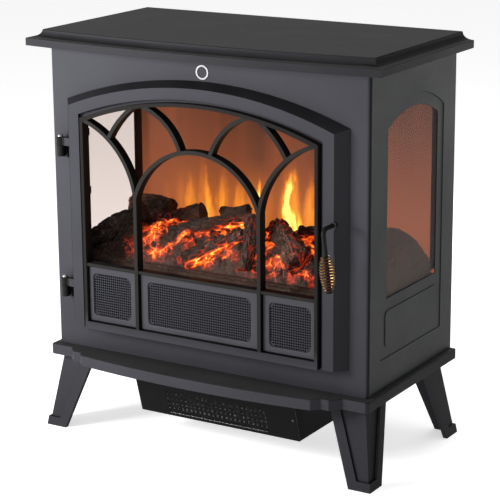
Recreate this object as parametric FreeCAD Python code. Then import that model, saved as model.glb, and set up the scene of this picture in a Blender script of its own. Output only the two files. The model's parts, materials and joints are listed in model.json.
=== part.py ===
import FreeCAD, Part
import math
import os
from FreeCAD import Vector

# Compact free-standing electric fireplace. Millimetres, +Z up, front towards -Y.
# The model is drawn with y = 0 on the face of the front panel and z = 0 on the floor;
# export() then moves it back so that the origin is under the middle of its bounding box.

# ---- driving dimensions -------------------------------------------------------------
SLAB_WIDTH = 635.0            # top board, side to side
SLAB_FRONT_CORNER = -24.3     # y of its front corners
SLAB_BOW = 19.2               # how far its front edge bows forward between the corners
SLAB_BACK = 290.6
SLAB_BOTTOM = 638.3
SLAB_RIM_TOP = 650.1
SLAB_TOP = 663.0
SLAB_COVE = 20.5              # width of the hollow moulding between rim and top face

BODY_WIDTH = 574.5
BODY_BACK = 292.75
BODY_BOTTOM = 141.7
BODY_TOP = SLAB_BOTTOM
CORNER_RADIUS = 4.5
SHEET = 2.0                   # thickness of the body panels
BACK_SHEET = 1.5
BODY_HALF = BODY_WIDTH / 2
BODY_INNER = BODY_HALF - 2.25
BACK_INSIDE = BODY_BACK - BACK_SHEET
BACK_SCREW_ZS = (170.0, 390.0, 610.0)

BASE_HALF = 296.0
BASE_BACK = 295.0
BASE_BOTTOM = 124.3
BASE_WALL = 2.5
BASE_MIDDLE_Y = -58.5         # front of the bowed middle
BASE_ROUND = 2.5

FOOT_FLOOR_CORNER = (305.0, -21.1)
FOOT_TOP_CORNER = (286.0, 1.5)        # where the corner passes under the plinth
FOOT_FLOOR_INNER = (267.0, 17.5)      # inner ends of the two faces at the floor
FOOT_TOP_INNER = (221.0, 66.5)
FOOT_STEP = 3.6               # the plain panel lies this far behind its border
FOOT_WALL = 4.0
FOOT_SHOE = 14.5
FOOT_MIDDLE_Y = 134.0         # rear feet mirror the front ones about this depth

DOOR_BACK = -1.2
DOOR_FACE = -21.0
LATTICE_FACE = -26.0
DOOR_BOTTOM = 183.5
DOOR_SIDE = 240.0             # half width of the front face
DOOR_SHOULDER = 548.3
DOOR_CROWN = 594.0
DOOR_BEVEL = 16.0             # the sides flare out by this much towards the panel
PANE_HALF = 210.0             # half width of the glazed opening
PANE_SHOULDER = 525.0
PANE_CROWN = 565.5
RAIL_TOP = 196.0              # top of the door's bottom rail
SILL_BOTTOM = 289.0
SILL_TOP = 294.0
BAR = 6.5                     # width of mullions and tracery bars
MULLION_X = 113.0
CENTRE_ARCH = (0.0, 378.0, 118.0)        # x, z and radius of the middle line of each bar
SIDE_ARC = (-252.0, 394.0, 140.5)
OUTER_LEG = (-15.5, 423.0, 166.0)
INNER_LEG = (-122.5, 463.2, 100.0)
LEGS_MEET_X = -107.0
GLASS_FRONT = -9.0            # front face of the door glass
GLASS = 4.0
GRILLE_FACE = -20.5
GRILLE_FIELD = (206.5, 277.0)            # bottom and top of the perforated field
GRILLE_HOLE_PITCH = 9.6

HINGE_X = -264.0
HINGE_Y = -12.0
HINGE_BASES = (227.8, 461.8)  # z of the underside of each hinge
KNUCKLE_RADIUS = 6.5
PIN_RADIUS = 2.5
RUNNING_GAP = 0.05            # radial clearance of every turning fit
DOOR_KNUCKLE_LOW = 18.3
DOOR_KNUCKLE_HIGH = 31.3

HANDLE_X = 238.0
HANDLE_Z = 411.0
HANDLE_PLANE = -50.0          # depth at which the lever hangs
HANDLE_LEAN = math.radians(6.7)
HANDLE_ROD = 3.5              # rod radius
HANDLE_BEND = 9.0
COIL_START = 41.0             # down the lever from the shank's axis
COIL_LENGTH = 52.0
COIL_TURNS = 11
COIL_END_RADIUS = 7.0
COIL_MIDDLE_RADIUS = 12.3

WINDOW_Y = 146.5              # middle of each side window
WINDOW_HALF = 84.5
WINDOW_BOTTOM = 284.0
WINDOW_SHOULDER = 545.0
WINDOW_CROWN = 568.0
GLASS_HALF = 90.0             # half width of the pane behind it

FLOOR_TOP = 279.5             # firebox floor
SCREEN_Y = 243.5

HEATER_HALF = 150.0
HEATER_BOTTOM = 36.0
HEATER_FRONT = 36.0           # y of the outlet's lower edge
HEATER_BACK = 205.0
HEATER_RAKE = 0.29            # the outlet face comes forward this much per mm of height
HEATER_SHEET = 1.5
LAMP_X = 144.0                # pilot lamp on the outlet
LAMP_Z = 73.7

BLOWER_Y = 118.0
BLOWER_Z = 86.0
BLOWER_RADIUS = 27.0
BLOWER_HALF = 95.0

ROTOR_Y = 268.0
ROTOR_Z = 250.0

CONTROL_Z = 235.0
SWITCH_XS = (-48.0, -16.0)
KNOB_X = 42.0
ROCKER_PIVOT_Y = 20.0
ROCKER_TILT = 7.0

GLAND_X = 232.0
GLAND_Z = 188.0
GLAND_LENGTH = 8.0

FRONT_Y = HANDLE_PLANE - COIL_MIDDLE_RADIUS
REAR_Y = BODY_BACK + GLAND_LENGTH
ORIGIN_Y = (FRONT_Y + REAR_Y) / 2

X_AXIS = Vector(1, 0, 0)
Y_AXIS = Vector(0, 1, 0)
Z_AXIS = Vector(0, 0, 1)


# ---- helpers ------------------------------------------------------------------------
def box(x0, x1, y0, y1, z0, z1):
    return Part.makeBox(x1 - x0, y1 - y0, z1 - z0, Vector(x0, y0, z0))


def rod(start, end, radius):
    direction = Vector(*end) - Vector(*start)
    return Part.makeCylinder(radius, direction.Length, Vector(*start), direction)


def polygon(points):
    corners = [Vector(*point) for point in points]
    return Part.makePolygon(corners + corners[:1])


def prism(points, direction):
    return Part.Face(polygon(points)).extrude(Vector(*direction))


def fuse(shapes):
    return shapes[0].multiFuse(shapes[1:]).removeSplitter()


def group(shapes):
    return Part.makeCompound(shapes)


def both_sides(shape):
    return [shape, shape.mirror(Vector(0, 0, 0), X_AXIS)]


def arch_wire(half, bottom, shoulder, crown, y):
    """Outline in an XZ plane: straight bottom and sides under a shallow arc."""
    left = Vector(-half, y, shoulder)
    right = Vector(half, y, shoulder)
    low_left = Vector(-half, y, bottom)
    low_right = Vector(half, y, bottom)
    arc = Part.Arc(left, Vector(0, y, crown), right).toShape()
    sides = [Part.makeLine(low_left, left), arc, Part.makeLine(right, low_right),
             Part.makeLine(low_right, low_left)]
    return Part.Wire(sides)


def arch_prism(half, bottom, shoulder, crown, y0, y1):
    face = Part.Face(arch_wire(half, bottom, shoulder, crown, y0))
    return face.extrude(Vector(0, y1 - y0, 0))


def arch_loft(front, back):
    return Part.makeLoft([arch_wire(*front), arch_wire(*back)], True, True)


def rounded_plate(x0, x1, z0, z1, y0, y1, radius):
    """Plate facing Y with rounded corners."""
    plate = box(x0, x1, y0, y1, z0, z1)
    upright = [edge for edge in plate.Edges if abs(edge.tangentAt(edge.FirstParameter).y) > 0.9]
    return plate.makeFillet(radius, upright)


def side_plate(half_low, y_middle, shape_z, x0, x1):
    """Arched plate facing X: half width, middle, (bottom, shoulder, crown), x range."""
    plate = arch_prism(half_low, *shape_z, 0, x1 - x0)
    plate.rotate(Vector(0, 0, 0), Z_AXIS, 90)
    plate.translate(Vector(x1, y_middle, 0))
    return plate


def export(shape, name):
    placed = shape.copy()
    placed.translate(Vector(0, -ORIGIN_Y, 0))
    placed.exportStep("parts/" + name + ".step")


# ---- top board ----------------------------------------------------------------------
def slab_outline(inset, z, back_inset=0.0):
    half = SLAB_WIDTH / 2 - inset
    corner_y = SLAB_FRONT_CORNER + inset
    back_y = SLAB_BACK - back_inset
    left = Vector(-half, corner_y, z)
    right = Vector(half, corner_y, z)
    front = Part.Arc(left, Vector(0, corner_y - SLAB_BOW, z), right).toShape()
    back_right = Vector(half, back_y, z)
    back_left = Vector(-half, back_y, z)
    return Part.Wire([front, Part.makeLine(right, back_right),
                      Part.makeLine(back_right, back_left), Part.makeLine(back_left, left)])


def slab_prism(inset, back_inset, z0, z1):
    return Part.Face(slab_outline(inset, z0, back_inset)).extrude(Vector(0, 0, z1 - z0))


def top_slab():
    steps = 8
    bead = 1.2
    cove_bottom = SLAB_RIM_TOP + 0.6
    cove_height = SLAB_TOP - bead - cove_bottom
    sections = [(0.0, SLAB_BOTTOM), (0.0, SLAB_RIM_TOP), (1.4, cove_bottom)]
    for step in range(1, steps + 1):
        angle = math.pi / 2 * step / steps
        inset = 1.4 + (SLAB_COVE - 2.6) * math.sin(angle)
        sections.append((inset, cove_bottom + cove_height * (1 - math.cos(angle))))
    sections.append((SLAB_COVE, SLAB_TOP))
    slab = Part.makeLoft([slab_outline(inset, z) for inset, z in sections], True, True)
    lip_pocket = slab_prism(16.0, 16.0, SLAB_BOTTOM - 1, SLAB_BOTTOM + 2)
    rim_pocket = slab_prism(2.5, 2.5, SLAB_BOTTOM + 2, SLAB_RIM_TOP - 1.5)
    top_pocket = slab_prism(SLAB_COVE + 2, 2.5, SLAB_RIM_TOP - 1.6, SLAB_TOP - 1.8)
    return slab.cut(lip_pocket.multiFuse([rim_pocket, top_pocket]))


def top_deck():
    plate = box(-BODY_INNER, BODY_INNER, SHEET, BACK_INSIDE, BODY_TOP - 6, BODY_TOP - 4.5)
    lips = [box(-BODY_INNER, 1.5 - BODY_INNER, 20, 270, BODY_TOP - 4.5, BODY_TOP),
            box(BODY_INNER - 1.5, BODY_INNER, 20, 270, BODY_TOP - 4.5, BODY_TOP)]
    return fuse([plate] + lips)


# ---- cabinet ------------------------------------------------------------------------
def front_panel():
    outer = box(-BODY_HALF, BODY_HALF, 0, CORNER_RADIUS + 2, BODY_BOTTOM, BODY_TOP)
    corners = [edge for edge in outer.Edges
               if abs(edge.tangentAt(edge.FirstParameter).z) > 0.9 and edge.CenterOfMass.y < 1]
    outer = outer.makeFillet(CORNER_RADIUS, corners)
    inner = box(-BODY_INNER, BODY_INNER, SHEET, CORNER_RADIUS + 3, BODY_BOTTOM - 1, BODY_TOP + 1)
    trim = box(-BODY_HALF - 1, BODY_HALF + 1, CORNER_RADIUS, 20, BODY_BOTTOM - 1, BODY_TOP + 1)
    opening = arch_prism(226, 283, 535, 577, -1, SHEET + 1)
    control_opening = box(-73, 73, -1, SHEET + 1, CONTROL_Z - 25, CONTROL_Z + 25)
    return outer.cut(inner.multiFuse([trim, opening, control_opening]))


def right_side_panel():
    front_y = CORNER_RADIUS + 0.2
    sheet = box(BODY_INNER, BODY_HALF, front_y, BACK_INSIDE, BODY_BOTTOM, BODY_TOP)
    bead_x = BODY_HALF - 1.0
    bead = rod((bead_x, front_y + 2, BODY_BOTTOM), (bead_x, front_y + 2, BODY_TOP), 2.0)
    inside = box(BODY_INNER - 3, BODY_INNER, 0, 30, BODY_BOTTOM - 1, BODY_TOP + 1)
    rear_flange = box(BODY_INNER - 16, BODY_INNER, BACK_INSIDE - SHEET, BACK_INSIDE,
                      BODY_BOTTOM, BODY_TOP - 8)
    window = side_plate(WINDOW_HALF, WINDOW_Y, (WINDOW_BOTTOM, WINDOW_SHOULDER, WINDOW_CROWN),
                        BODY_INNER - 2, BODY_HALF + 2)
    field_depth = 1.1
    field = side_plate(104, WINDOW_Y, (190, 555, 588), BODY_HALF - field_depth, BODY_HALF + 2)
    raised = box(BODY_HALF - field_depth, BODY_HALF, 58, 236, 207, 265)
    raised_corners = [edge for edge in raised.Edges
                      if abs(edge.tangentAt(edge.FirstParameter).x) > 0.9]
    raised = raised.makeFillet(9, raised_corners)
    field = field.cut(raised)
    panel = fuse([sheet, bead.cut(inside), rear_flange])
    screw_x = BODY_INNER - 8
    pilots = [rod((screw_x, BODY_BACK - 10, z), (screw_x, BODY_BACK, z), 1.8 + RUNNING_GAP)
              for z in BACK_SCREW_ZS]
    return panel.cut(window.multiFuse([field] + pilots))


def back_panel():
    panel = box(-BODY_HALF, BODY_HALF, BACK_INSIDE, BODY_BACK, BODY_BOTTOM, BODY_TOP)
    cuts = []
    slot_pitch = 12.0
    for lowest, rows, columns in ((520, 9, (-150.0, 0.0, 150.0)), (160, 6, (-110.0, 20.0))):
        for row in range(rows):
            z = lowest + row * slot_pitch
            for x in columns:
                cuts.append(rounded_plate(x - 28, x + 28, z, z + 4.5,
                                          BODY_BACK - 5, BODY_BACK + 1, 2.2))
    for x in (-BODY_INNER + 8, BODY_INNER - 8):
        for z in BACK_SCREW_ZS:
            cuts.append(rod((x, BODY_BACK - 5, z), (x, BODY_BACK + 1, z), 1.8 + RUNNING_GAP))
    cuts.append(rod((GLAND_X, BODY_BACK - 5, GLAND_Z), (GLAND_X, BODY_BACK + 1, GLAND_Z),
                    8 + RUNNING_GAP))
    return panel.cut(group(cuts))


# ---- plinth and feet ----------------------------------------------------------------
def plinth_wire(offset, z):
    """Plan of the plinth, shrunk by offset: corner blocks, two steps and a bowed middle."""
    half = BASE_HALF - offset
    right = [(half - 4, -15.0 + offset), (254.0, -15.0 + offset), (238.0, -31.5 + offset),
             (225.0, -31.5 + offset), (213.0, -44.0 + offset)]
    left = [(-x, y) for x, y in reversed(right)]
    bow = Part.Arc(Vector(*left[0], z), Vector(0, BASE_MIDDLE_Y + offset, z),
                   Vector(*right[-1], z)).toShape()
    edges = [bow]
    right.reverse()
    run = right + [(half, -11.0 + offset), (half, BASE_BACK - offset),
                   (-half, BASE_BACK - offset), (-half, -11.0 + offset)] + left[::-1]
    for start, end in zip(run, run[1:]):
        edges.append(Part.makeLine(Vector(*start, z), Vector(*end, z)))
    return Part.Wire(Part.__sortEdges__(edges))


def plinth_prism(offset, z0, z1):
    return Part.Face(plinth_wire(offset, z0)).extrude(Vector(0, 0, z1 - z0))


def base_plinth():
    body = plinth_prism(0, BASE_BOTTOM, BODY_BOTTOM - BASE_ROUND)
    rounding = []
    steps = 4
    for step in range(steps + 1):
        angle = math.pi / 2 * step / steps
        rounding.append(plinth_wire(BASE_ROUND * (1 - math.cos(angle)),
                                    BODY_BOTTOM - BASE_ROUND * (1 - math.sin(angle))))
    body = body.fuse(Part.makeLoft(rounding, True, True)).removeSplitter()
    pocket = plinth_prism(BASE_WALL, BASE_BOTTOM - 1, BODY_BOTTOM - BASE_WALL)
    air_opening = box(-140, 140, 20, 195, BASE_BOTTOM, BODY_BOTTOM + 1)
    holes = [rod((x, y, BODY_BOTTOM - 6), (x, y, BODY_BOTTOM + 1), 2.0 + RUNNING_GAP)
             for x, y in foot_screw_places()]
    return body.cut(pocket.multiFuse([air_opening] + holes))


def foot_screw_places():
    places = []
    for side in (-1, 1):
        for x, y in ((238.0, 22.0), (262.0, 46.0)):
            places.append((side * x, y))
            places.append((side * x, 2 * FOOT_MIDDLE_Y - y))
    return places


def foot_lines(z):
    """Outer corner (x, y) and inner ends (x, y) of the two faces at height z."""
    part = z / BASE_BOTTOM
    corner = [low + (high - low) * part for low, high in zip(FOOT_FLOOR_CORNER, FOOT_TOP_CORNER)]
    inner = [low + (high - low) * part for low, high in zip(FOOT_FLOOR_INNER, FOOT_TOP_INNER)]
    return corner[0], corner[1], inner[0], inner[1]


def foot_loft(section, z0, z1):
    wires = [polygon([(x, y, z) for x, y in section(*foot_lines(z))]) for z in (z0, z1)]
    return Part.makeLoft(wires, True, True)


def front_right_foot():
    step = FOOT_STEP
    deep = FOOT_STEP + FOOT_WALL
    band = 18.0

    def plain_faces(cx, cy, ix, iy):
        return [(ix, cy + step), (cx - step, cy + step), (cx - step, iy),
                (cx - deep, iy), (cx - deep, cy + deep), (ix, cy + deep)]

    def front_border(cx, cy, ix, iy):
        return [(ix, cy), (ix + band, cy), (ix + band, cy + deep), (ix, cy + deep)]

    def side_border(cx, cy, ix, iy):
        return [(cx - deep, iy - band), (cx, iy - band), (cx, iy), (cx - deep, iy)]

    def shoe(cx, cy, ix, iy):
        return [(ix, cy), (cx, cy), (cx, iy),
                (cx - deep, iy), (cx - deep, cy + deep), (ix, cy + deep)]

    plate_low = BODY_BOTTOM - 2 * BASE_WALL
    plate_top = BODY_BOTTOM - BASE_WALL
    cx, cy, ix, iy = foot_lines(plate_low)
    plate = prism([(ix, cy + step, plate_low), (cx - step, cy + step, plate_low),
                   (cx - step, iy, plate_low), (cx - 40, iy, plate_low), (ix, cy + 40, plate_low)],
                  (0, 0, plate_top - plate_low))
    foot = fuse([foot_loft(plain_faces, 0, plate_top), foot_loft(front_border, 0, plate_top),
                 foot_loft(side_border, 0, plate_top), foot_loft(shoe, 0, FOOT_SHOE), plate])
    holes = [rod((x, y, plate_low - 5), (x, y, plate_top + 1), 2.0 + RUNNING_GAP)
             for x, y in foot_screw_places() if x > 0 and y < FOOT_MIDDLE_Y]
    return foot.cut(group(holes))


def feet():
    front_right = front_right_foot()
    middle = Vector(0, FOOT_MIDDLE_Y, 0)
    rear_right = front_right.mirror(middle, Y_AXIS)
    return {"front_right_foot": front_right,
            "front_left_foot": front_right.mirror(middle, X_AXIS),
            "rear_right_foot": rear_right,
            "rear_left_foot": rear_right.mirror(middle, X_AXIS)}


# ---- glazing and trim of the cabinet ---------------------------------------------------
def right_side_glass():
    return box(BODY_INNER - 3.2, BODY_INNER - 0.2, WINDOW_Y - GLASS_HALF, WINDOW_Y + GLASS_HALF,
               FLOOR_TOP + 1.5, 578)


def side_glass_clips():
    """Two short clips on the front edge of each pane and one tall strip on its rear edge."""
    clips = []
    front = WINDOW_Y - GLASS_HALF
    rear = WINDOW_Y + GLASS_HALF
    for low, high, tab, foot in (
            (294, 306, (front - 6, front + 5), (front - 6, front - 0.5)),
            (554, 566, (front - 6, front + 5), (front - 6, front - 0.5)),
            (FLOOR_TOP + 10, 572, (rear - 16, rear + 6), (rear + 0.5, rear + 6))):
        clip = box(BODY_INNER - 4.4, BODY_INNER - 3.2, *tab, low, high)
        clip = clip.fuse(box(BODY_INNER - 4.4, BODY_INNER, *foot, low, high))
        clips += both_sides(clip.removeSplitter())
    return group(clips)


def badge_ring():
    ring = rod((0, -1.2, 617), (0, 0, 617), 11.3)
    return ring.cut(rod((0, -2, 617), (0, 1, 617), 8.7))


# ---- firebox ------------------------------------------------------------------------
def firebox_floor():
    edge = BODY_INNER - 0.1
    plate = box(-edge, edge, SHEET + 0.1, BACK_INSIDE - SHEET - 0.1, FLOOR_TOP - 1.5, FLOOR_TOP)
    lip = box(-edge, edge, BACK_INSIDE - SHEET - 1.6, BACK_INSIDE - SHEET - 0.1,
              FLOOR_TOP - 12, FLOOR_TOP)
    light_slot = box(-230, 230, 252, 284, FLOOR_TOP - 5, FLOOR_TOP + 1)
    return fuse([plate, lip]).cut(light_slot)


LOGS = {                       # start, end, start radius, end radius
    "left_log": ((-252, 72, 304), (-190, 118, 343), 22, 25),
    "standing_log": ((47, 46, 304), (40, 84, 376), 13, 15),
    "right_log": ((142, 54, 322), (62, 118, 352), 22, 18),
    "upper_log": ((-222, 128, 322), (-100, 152, 352), 14, 18),
    "middle_log": ((-116, 82, 328), (2, 134, 358), 16, 11),
    "front_log": ((-62, 44, 300), (22, 78, 340), 17, 13),
}
BACK_LOGS = (((-262, 190, 341), (-186, 188, 341), 18.5, 17.5),
             ((-74, 176, 350), (-28, 176, 360), 12, 11),
             ((84, 152, 340), (172, 184, 332), 15, 17))
END_LOG_X = 244.5
END_LOG = ((66, 338, 35.5), (112, 343, 36), (160, 334, 35), (204, 312, 31), (238, 288, 26))


def log_solid(start, end, start_radius, end_radius):
    direction = Vector(*end) - Vector(*start)
    return Part.makeCone(start_radius, end_radius, direction.Length, Vector(*start), direction)


def right_end_log():
    """Thick log along the right window, sinking towards the back."""
    rings = [Part.Wire(Part.makeCircle(radius, Vector(END_LOG_X, y, z), Y_AXIS))
             for y, z, radius in END_LOG]
    below = box(END_LOG_X - 60, END_LOG_X + 60, 0, 300, FLOOR_TOP - 100, FLOOR_TOP)
    return Part.makeLoft(rings, True).cut(below)


def log_set():
    """Each log gives way to the ones laid before it, so neighbours touch face to face."""
    placed = {"right_end_log": right_end_log()}
    for name, line in LOGS.items():
        log = log_solid(*line)
        for earlier in placed.values():
            log = log.cut(earlier)
        placed[name] = max(log.Solids, key=lambda solid: solid.Volume)
    pieces = []
    for line in BACK_LOGS:
        log = log_solid(*line)
        for earlier in placed.values():
            log = log.cut(earlier)
        pieces.append(max(log.Solids, key=lambda solid: solid.Volume))
    placed["back_logs"] = group(pieces)
    return placed


def rounded_outline(x0, x1, y0, y1, z, radius):
    plate = box(x0, x1, y0, y1, z, z + 1)
    upright = [edge for edge in plate.Edges if abs(edge.tangentAt(edge.FirstParameter).z) > 0.9]
    faces = plate.makeFillet(radius, upright).Faces
    return min(faces, key=lambda face: face.CenterOfMass.z).OuterWire


def mound(inset, base, drop):
    tiers = ((276, 276, 20, 238, 0), (270, 270, 26, 232, 12.5),
             (232, 262, 42, 212, 36.5), (150, 150, 62, 182, 54.5))
    outlines = []
    for left, right, front, back, height in tiers:
        z = base if height == 0 else FLOOR_TOP + height - drop
        outlines.append(rounded_outline(inset - left, right - inset, front + inset, back - inset, z, 12))
    return Part.makeLoft(outlines, True, True)


def ember_bed(logs):
    """Moulded shell heaped up between the logs."""
    shell = mound(0, FLOOR_TOP, 0).cut(mound(7, FLOOR_TOP - 1, 5))
    for log in logs.values():
        shell = shell.cut(log)
    return max(shell.Solids, key=lambda solid: solid.Volume)


def flame_screen():
    return box(-BODY_INNER + 0.3, BODY_INNER - 0.3, SCREEN_Y, SCREEN_Y + 2.5, FLOOR_TOP, BODY_TOP - 6)


def led_boards():
    ember = [box(-150, 150, 80, 160, FLOOR_TOP, FLOOR_TOP + 1.6)]
    flame = [box(-205, 190, 256, BACK_INSIDE, 214, 215.6)]
    for step in range(10):
        x = -135 + step * 30
        for y in (100, 140):
            ember.append(rod((x, y, FLOOR_TOP + 1.6), (x, y, FLOOR_TOP + 5), 2.5))
    for step in range(13):
        x = -192 + step * 30
        flame.append(rod((x, ROTOR_Y, 215.6), (x, ROTOR_Y, 219), 2.5))
    return group([fuse(ember), fuse(flame)])


# ---- flame rotor --------------------------------------------------------------------
def flame_rotor():
    parts = [rod((-224, ROTOR_Y, ROTOR_Z), (222, ROTOR_Y, ROTOR_Z), 2.0),
             rod((-212, ROTOR_Y, ROTOR_Z), (204, ROTOR_Y, ROTOR_Z), 4.0)]
    stars = 12
    for star in range(stars):
        x = -205 + star * 36
        for blade in range(3):
            strip = box(x - 6, x + 6, ROTOR_Y - 14, ROTOR_Y + 14, ROTOR_Z - 0.4, ROTOR_Z + 0.4)
            strip.rotate(Vector(x, ROTOR_Y, ROTOR_Z), X_AXIS, 60 * blade + 15 * star)
            parts.append(strip)
    return fuse(parts)


def rotor_brackets():
    brackets = []
    for x, flange_x in ((-218.0, -234.0), (208.0, 208.0)):
        web = box(x, x + 2, 252, BACK_INSIDE, 226, 266)
        flange = box(flange_x, flange_x + 18, BACK_INSIDE - SHEET, BACK_INSIDE, 226, 266)
        hole = rod((x - 1, ROTOR_Y, ROTOR_Z), (x + 3, ROTOR_Y, ROTOR_Z), 2.0 + RUNNING_GAP)
        brackets.append(fuse([web, flange]).cut(hole))
    return group(brackets)


def flame_motor():
    case = rod((212, ROTOR_Y, ROTOR_Z), (232, ROTOR_Y, ROTOR_Z), 19)
    bore = rod((211, ROTOR_Y, ROTOR_Z), (224, ROTOR_Y, ROTOR_Z), 2.0 + RUNNING_GAP)
    stand = box(210, 212, 256, 280, 236, 264)
    shaft_gap = rod((209, ROTOR_Y, ROTOR_Z), (213, ROTOR_Y, ROTOR_Z), 2.0 + RUNNING_GAP)
    return fuse([case, stand]).cut(bore.fuse(shaft_gap))


# ---- fan heater ---------------------------------------------------------------------
def outlet_y(z):
    return HEATER_FRONT - (z - HEATER_BOTTOM) * HEATER_RAKE


def heater_profile(x, inset, top):
    low = HEATER_BOTTOM + inset
    return [(x, outlet_y(low) + HEATER_SHEET, low), (x, HEATER_BACK - inset, low),
            (x, HEATER_BACK - inset, top), (x, outlet_y(top) + HEATER_SHEET, top)]


def heater_box():
    top = BODY_BOTTOM - BASE_WALL
    outer = prism(heater_profile(-HEATER_HALF, 0, top), (2 * HEATER_HALF, 0, 0))
    inner = prism(heater_profile(HEATER_SHEET - HEATER_HALF, HEATER_SHEET, top + 1),
                  (2 * (HEATER_HALF - HEATER_SHEET), 0, 0))
    return outer.cut(inner)


def outlet_grille():
    top = BODY_BOTTOM - BASE_WALL
    x = -HEATER_HALF
    low = HEATER_BOTTOM
    sheet = prism([(x, outlet_y(low), low), (x, outlet_y(low) + HEATER_SHEET, low),
                   (x, outlet_y(top) + HEATER_SHEET, top), (x, outlet_y(top), top)],
                  (2 * HEATER_HALF, 0, 0))
    holes = []
    for row in range(5):
        z = 44 + row * 8.75
        for column in range(23):
            x = -92 + column * 8.36
            y = outlet_y(z)
            holes.append(rod((x, y - 3, z), (x, y + 5, z), 2.1))
    y = outlet_y(LAMP_Z)
    holes.append(rod((LAMP_X, y - 3, LAMP_Z), (LAMP_X, y + 5, LAMP_Z), 1.9))
    return sheet.cut(group(holes))


def indicator_lens():
    y = outlet_y(LAMP_Z)
    return rod((LAMP_X, y - 1.2, LAMP_Z), (LAMP_X, y + 5, LAMP_Z), 1.9)


def heating_element():
    low = HEATER_BOTTOM + HEATER_SHEET
    frame = box(-98, 98, 46, 62, 46, 108).cut(box(-92, 92, 45, 63, 52, 102))
    parts = [frame]
    for bar in range(7):
        z = 55 + bar * 7
        parts.append(box(-93, 93, 48, 60, z, z + 1.5))
    parts += [box(-98, -92, 50, 58, low, 47), box(92, 98, 50, 58, low, 47)]
    return fuse(parts)


def thermal_cutout():
    return fuse([rod((60, 54, 108), (60, 54, 113), 8), rod((60, 54, 113), (60, 54, 115), 5)])


def blower_wheel():
    shaft = rod((-104, BLOWER_Y, BLOWER_Z), (116, BLOWER_Y, BLOWER_Z), 3.0)
    parts = [shaft]
    for x in (-BLOWER_HALF, 0.0, BLOWER_HALF - 2):
        parts.append(rod((x, BLOWER_Y, BLOWER_Z), (x + 2, BLOWER_Y, BLOWER_Z), BLOWER_RADIUS - 1))
    blades = 16
    for blade in range(blades):
        vane = box(-BLOWER_HALF, BLOWER_HALF, BLOWER_Y - 0.6, BLOWER_Y + 0.6,
                   BLOWER_Z + BLOWER_RADIUS - 9, BLOWER_Z + BLOWER_RADIUS)
        vane.rotate(Vector(0, BLOWER_Y, BLOWER_Z + BLOWER_RADIUS - 4), X_AXIS, 30)
        vane.rotate(Vector(0, BLOWER_Y, BLOWER_Z), X_AXIS, 360 * blade / blades)
        parts.append(vane)
    return fuse(parts)


def blower_scroll():
    low = HEATER_BOTTOM + HEATER_SHEET
    outer = rod((-100, BLOWER_Y, BLOWER_Z), (100, BLOWER_Y, BLOWER_Z), 33.5)
    inner = rod((-101, BLOWER_Y, BLOWER_Z), (101, BLOWER_Y, BLOWER_Z), 32)
    front = box(-101, 101, BLOWER_Y - 50, BLOWER_Y, BLOWER_Z - 50, BLOWER_Z + 50)
    shell = outer.cut(inner.fuse(front))
    parts = [shell]
    for x in (-100.0, 98.0):
        parts.append(rod((x, BLOWER_Y, BLOWER_Z), (x + 2, BLOWER_Y, BLOWER_Z), 33.5))
        parts.append(box(x, x + 2, BLOWER_Y - 20, BLOWER_Y + 20, low, BLOWER_Z))
    bearing = rod((-106, BLOWER_Y, BLOWER_Z), (106, BLOWER_Y, BLOWER_Z), 3.0 + RUNNING_GAP)
    return fuse(parts).cut(bearing)


def blower_motor():
    low = HEATER_BOTTOM + HEATER_SHEET
    case = rod((104, BLOWER_Y, BLOWER_Z), (138, BLOWER_Y, BLOWER_Z), 23)
    foot = box(110, 132, BLOWER_Y - 15, BLOWER_Y + 15, low, BLOWER_Z - 10)
    bore = rod((103, BLOWER_Y, BLOWER_Z), (119, BLOWER_Y, BLOWER_Z), 3.0 + RUNNING_GAP)
    return fuse([case, foot]).cut(bore)


# ---- controls behind the door --------------------------------------------------------
def control_panel():
    outer = box(-75, 75, SHEET, 20, CONTROL_Z - 27, CONTROL_Z + 27)
    inner = box(-73, 73, SHEET - 1, 18, CONTROL_Z - 25, CONTROL_Z + 25)
    flange = box(-85, 85, SHEET, SHEET + 1.5, CONTROL_Z - 32, CONTROL_Z + 32)
    cuts = [inner, rod((KNOB_X, 15, CONTROL_Z), (KNOB_X, 25, CONTROL_Z), 3.0 + RUNNING_GAP)]
    for x in SWITCH_XS:
        cuts.append(box(x - 11, x + 11, 15, 25, CONTROL_Z - 15, CONTROL_Z + 15))
    return fuse([outer, flange]).cut(cuts[0].multiFuse(cuts[1:]))


def switch_housings():
    housings = []
    for x in SWITCH_XS:
        bezel = box(x - 13, x + 13, 16, 18, CONTROL_Z - 17, CONTROL_Z + 17)
        body = box(x - 11, x + 11, 18, 36, CONTROL_Z - 15, CONTROL_Z + 15)
        pocket = box(x - 8, x + 8, 15, 32, CONTROL_Z - 12, CONTROL_Z + 12)
        axle = rod((x - 10.4, ROCKER_PIVOT_Y, CONTROL_Z), (x + 10.4, ROCKER_PIVOT_Y, CONTROL_Z),
                   1.5 + RUNNING_GAP)
        terminals = [box(x - 3, x + 3, 36, 44, CONTROL_Z + z, CONTROL_Z + z + 0.8) for z in (-8, 0, 8)]
        housings.append(fuse([bezel, body] + terminals).cut(pocket.fuse(axle)))
    return group(housings)


def rocker(x):
    profile = [(-9.0, 11.0), (-6.0, 0.0), (-9.0, -11.0), (3.0, -8.5), (3.0, 8.5)]
    points = [(x - 7.5, ROCKER_PIVOT_Y + y, CONTROL_Z + z) for y, z in profile]
    cap = prism(points, (15, 0, 0))
    axle = rod((x - 10.2, ROCKER_PIVOT_Y, CONTROL_Z), (x + 10.2, ROCKER_PIVOT_Y, CONTROL_Z), 1.5)
    shape = fuse([cap, axle])
    shape.rotate(Vector(x, ROCKER_PIVOT_Y, CONTROL_Z), X_AXIS, -ROCKER_TILT)
    return shape


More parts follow.
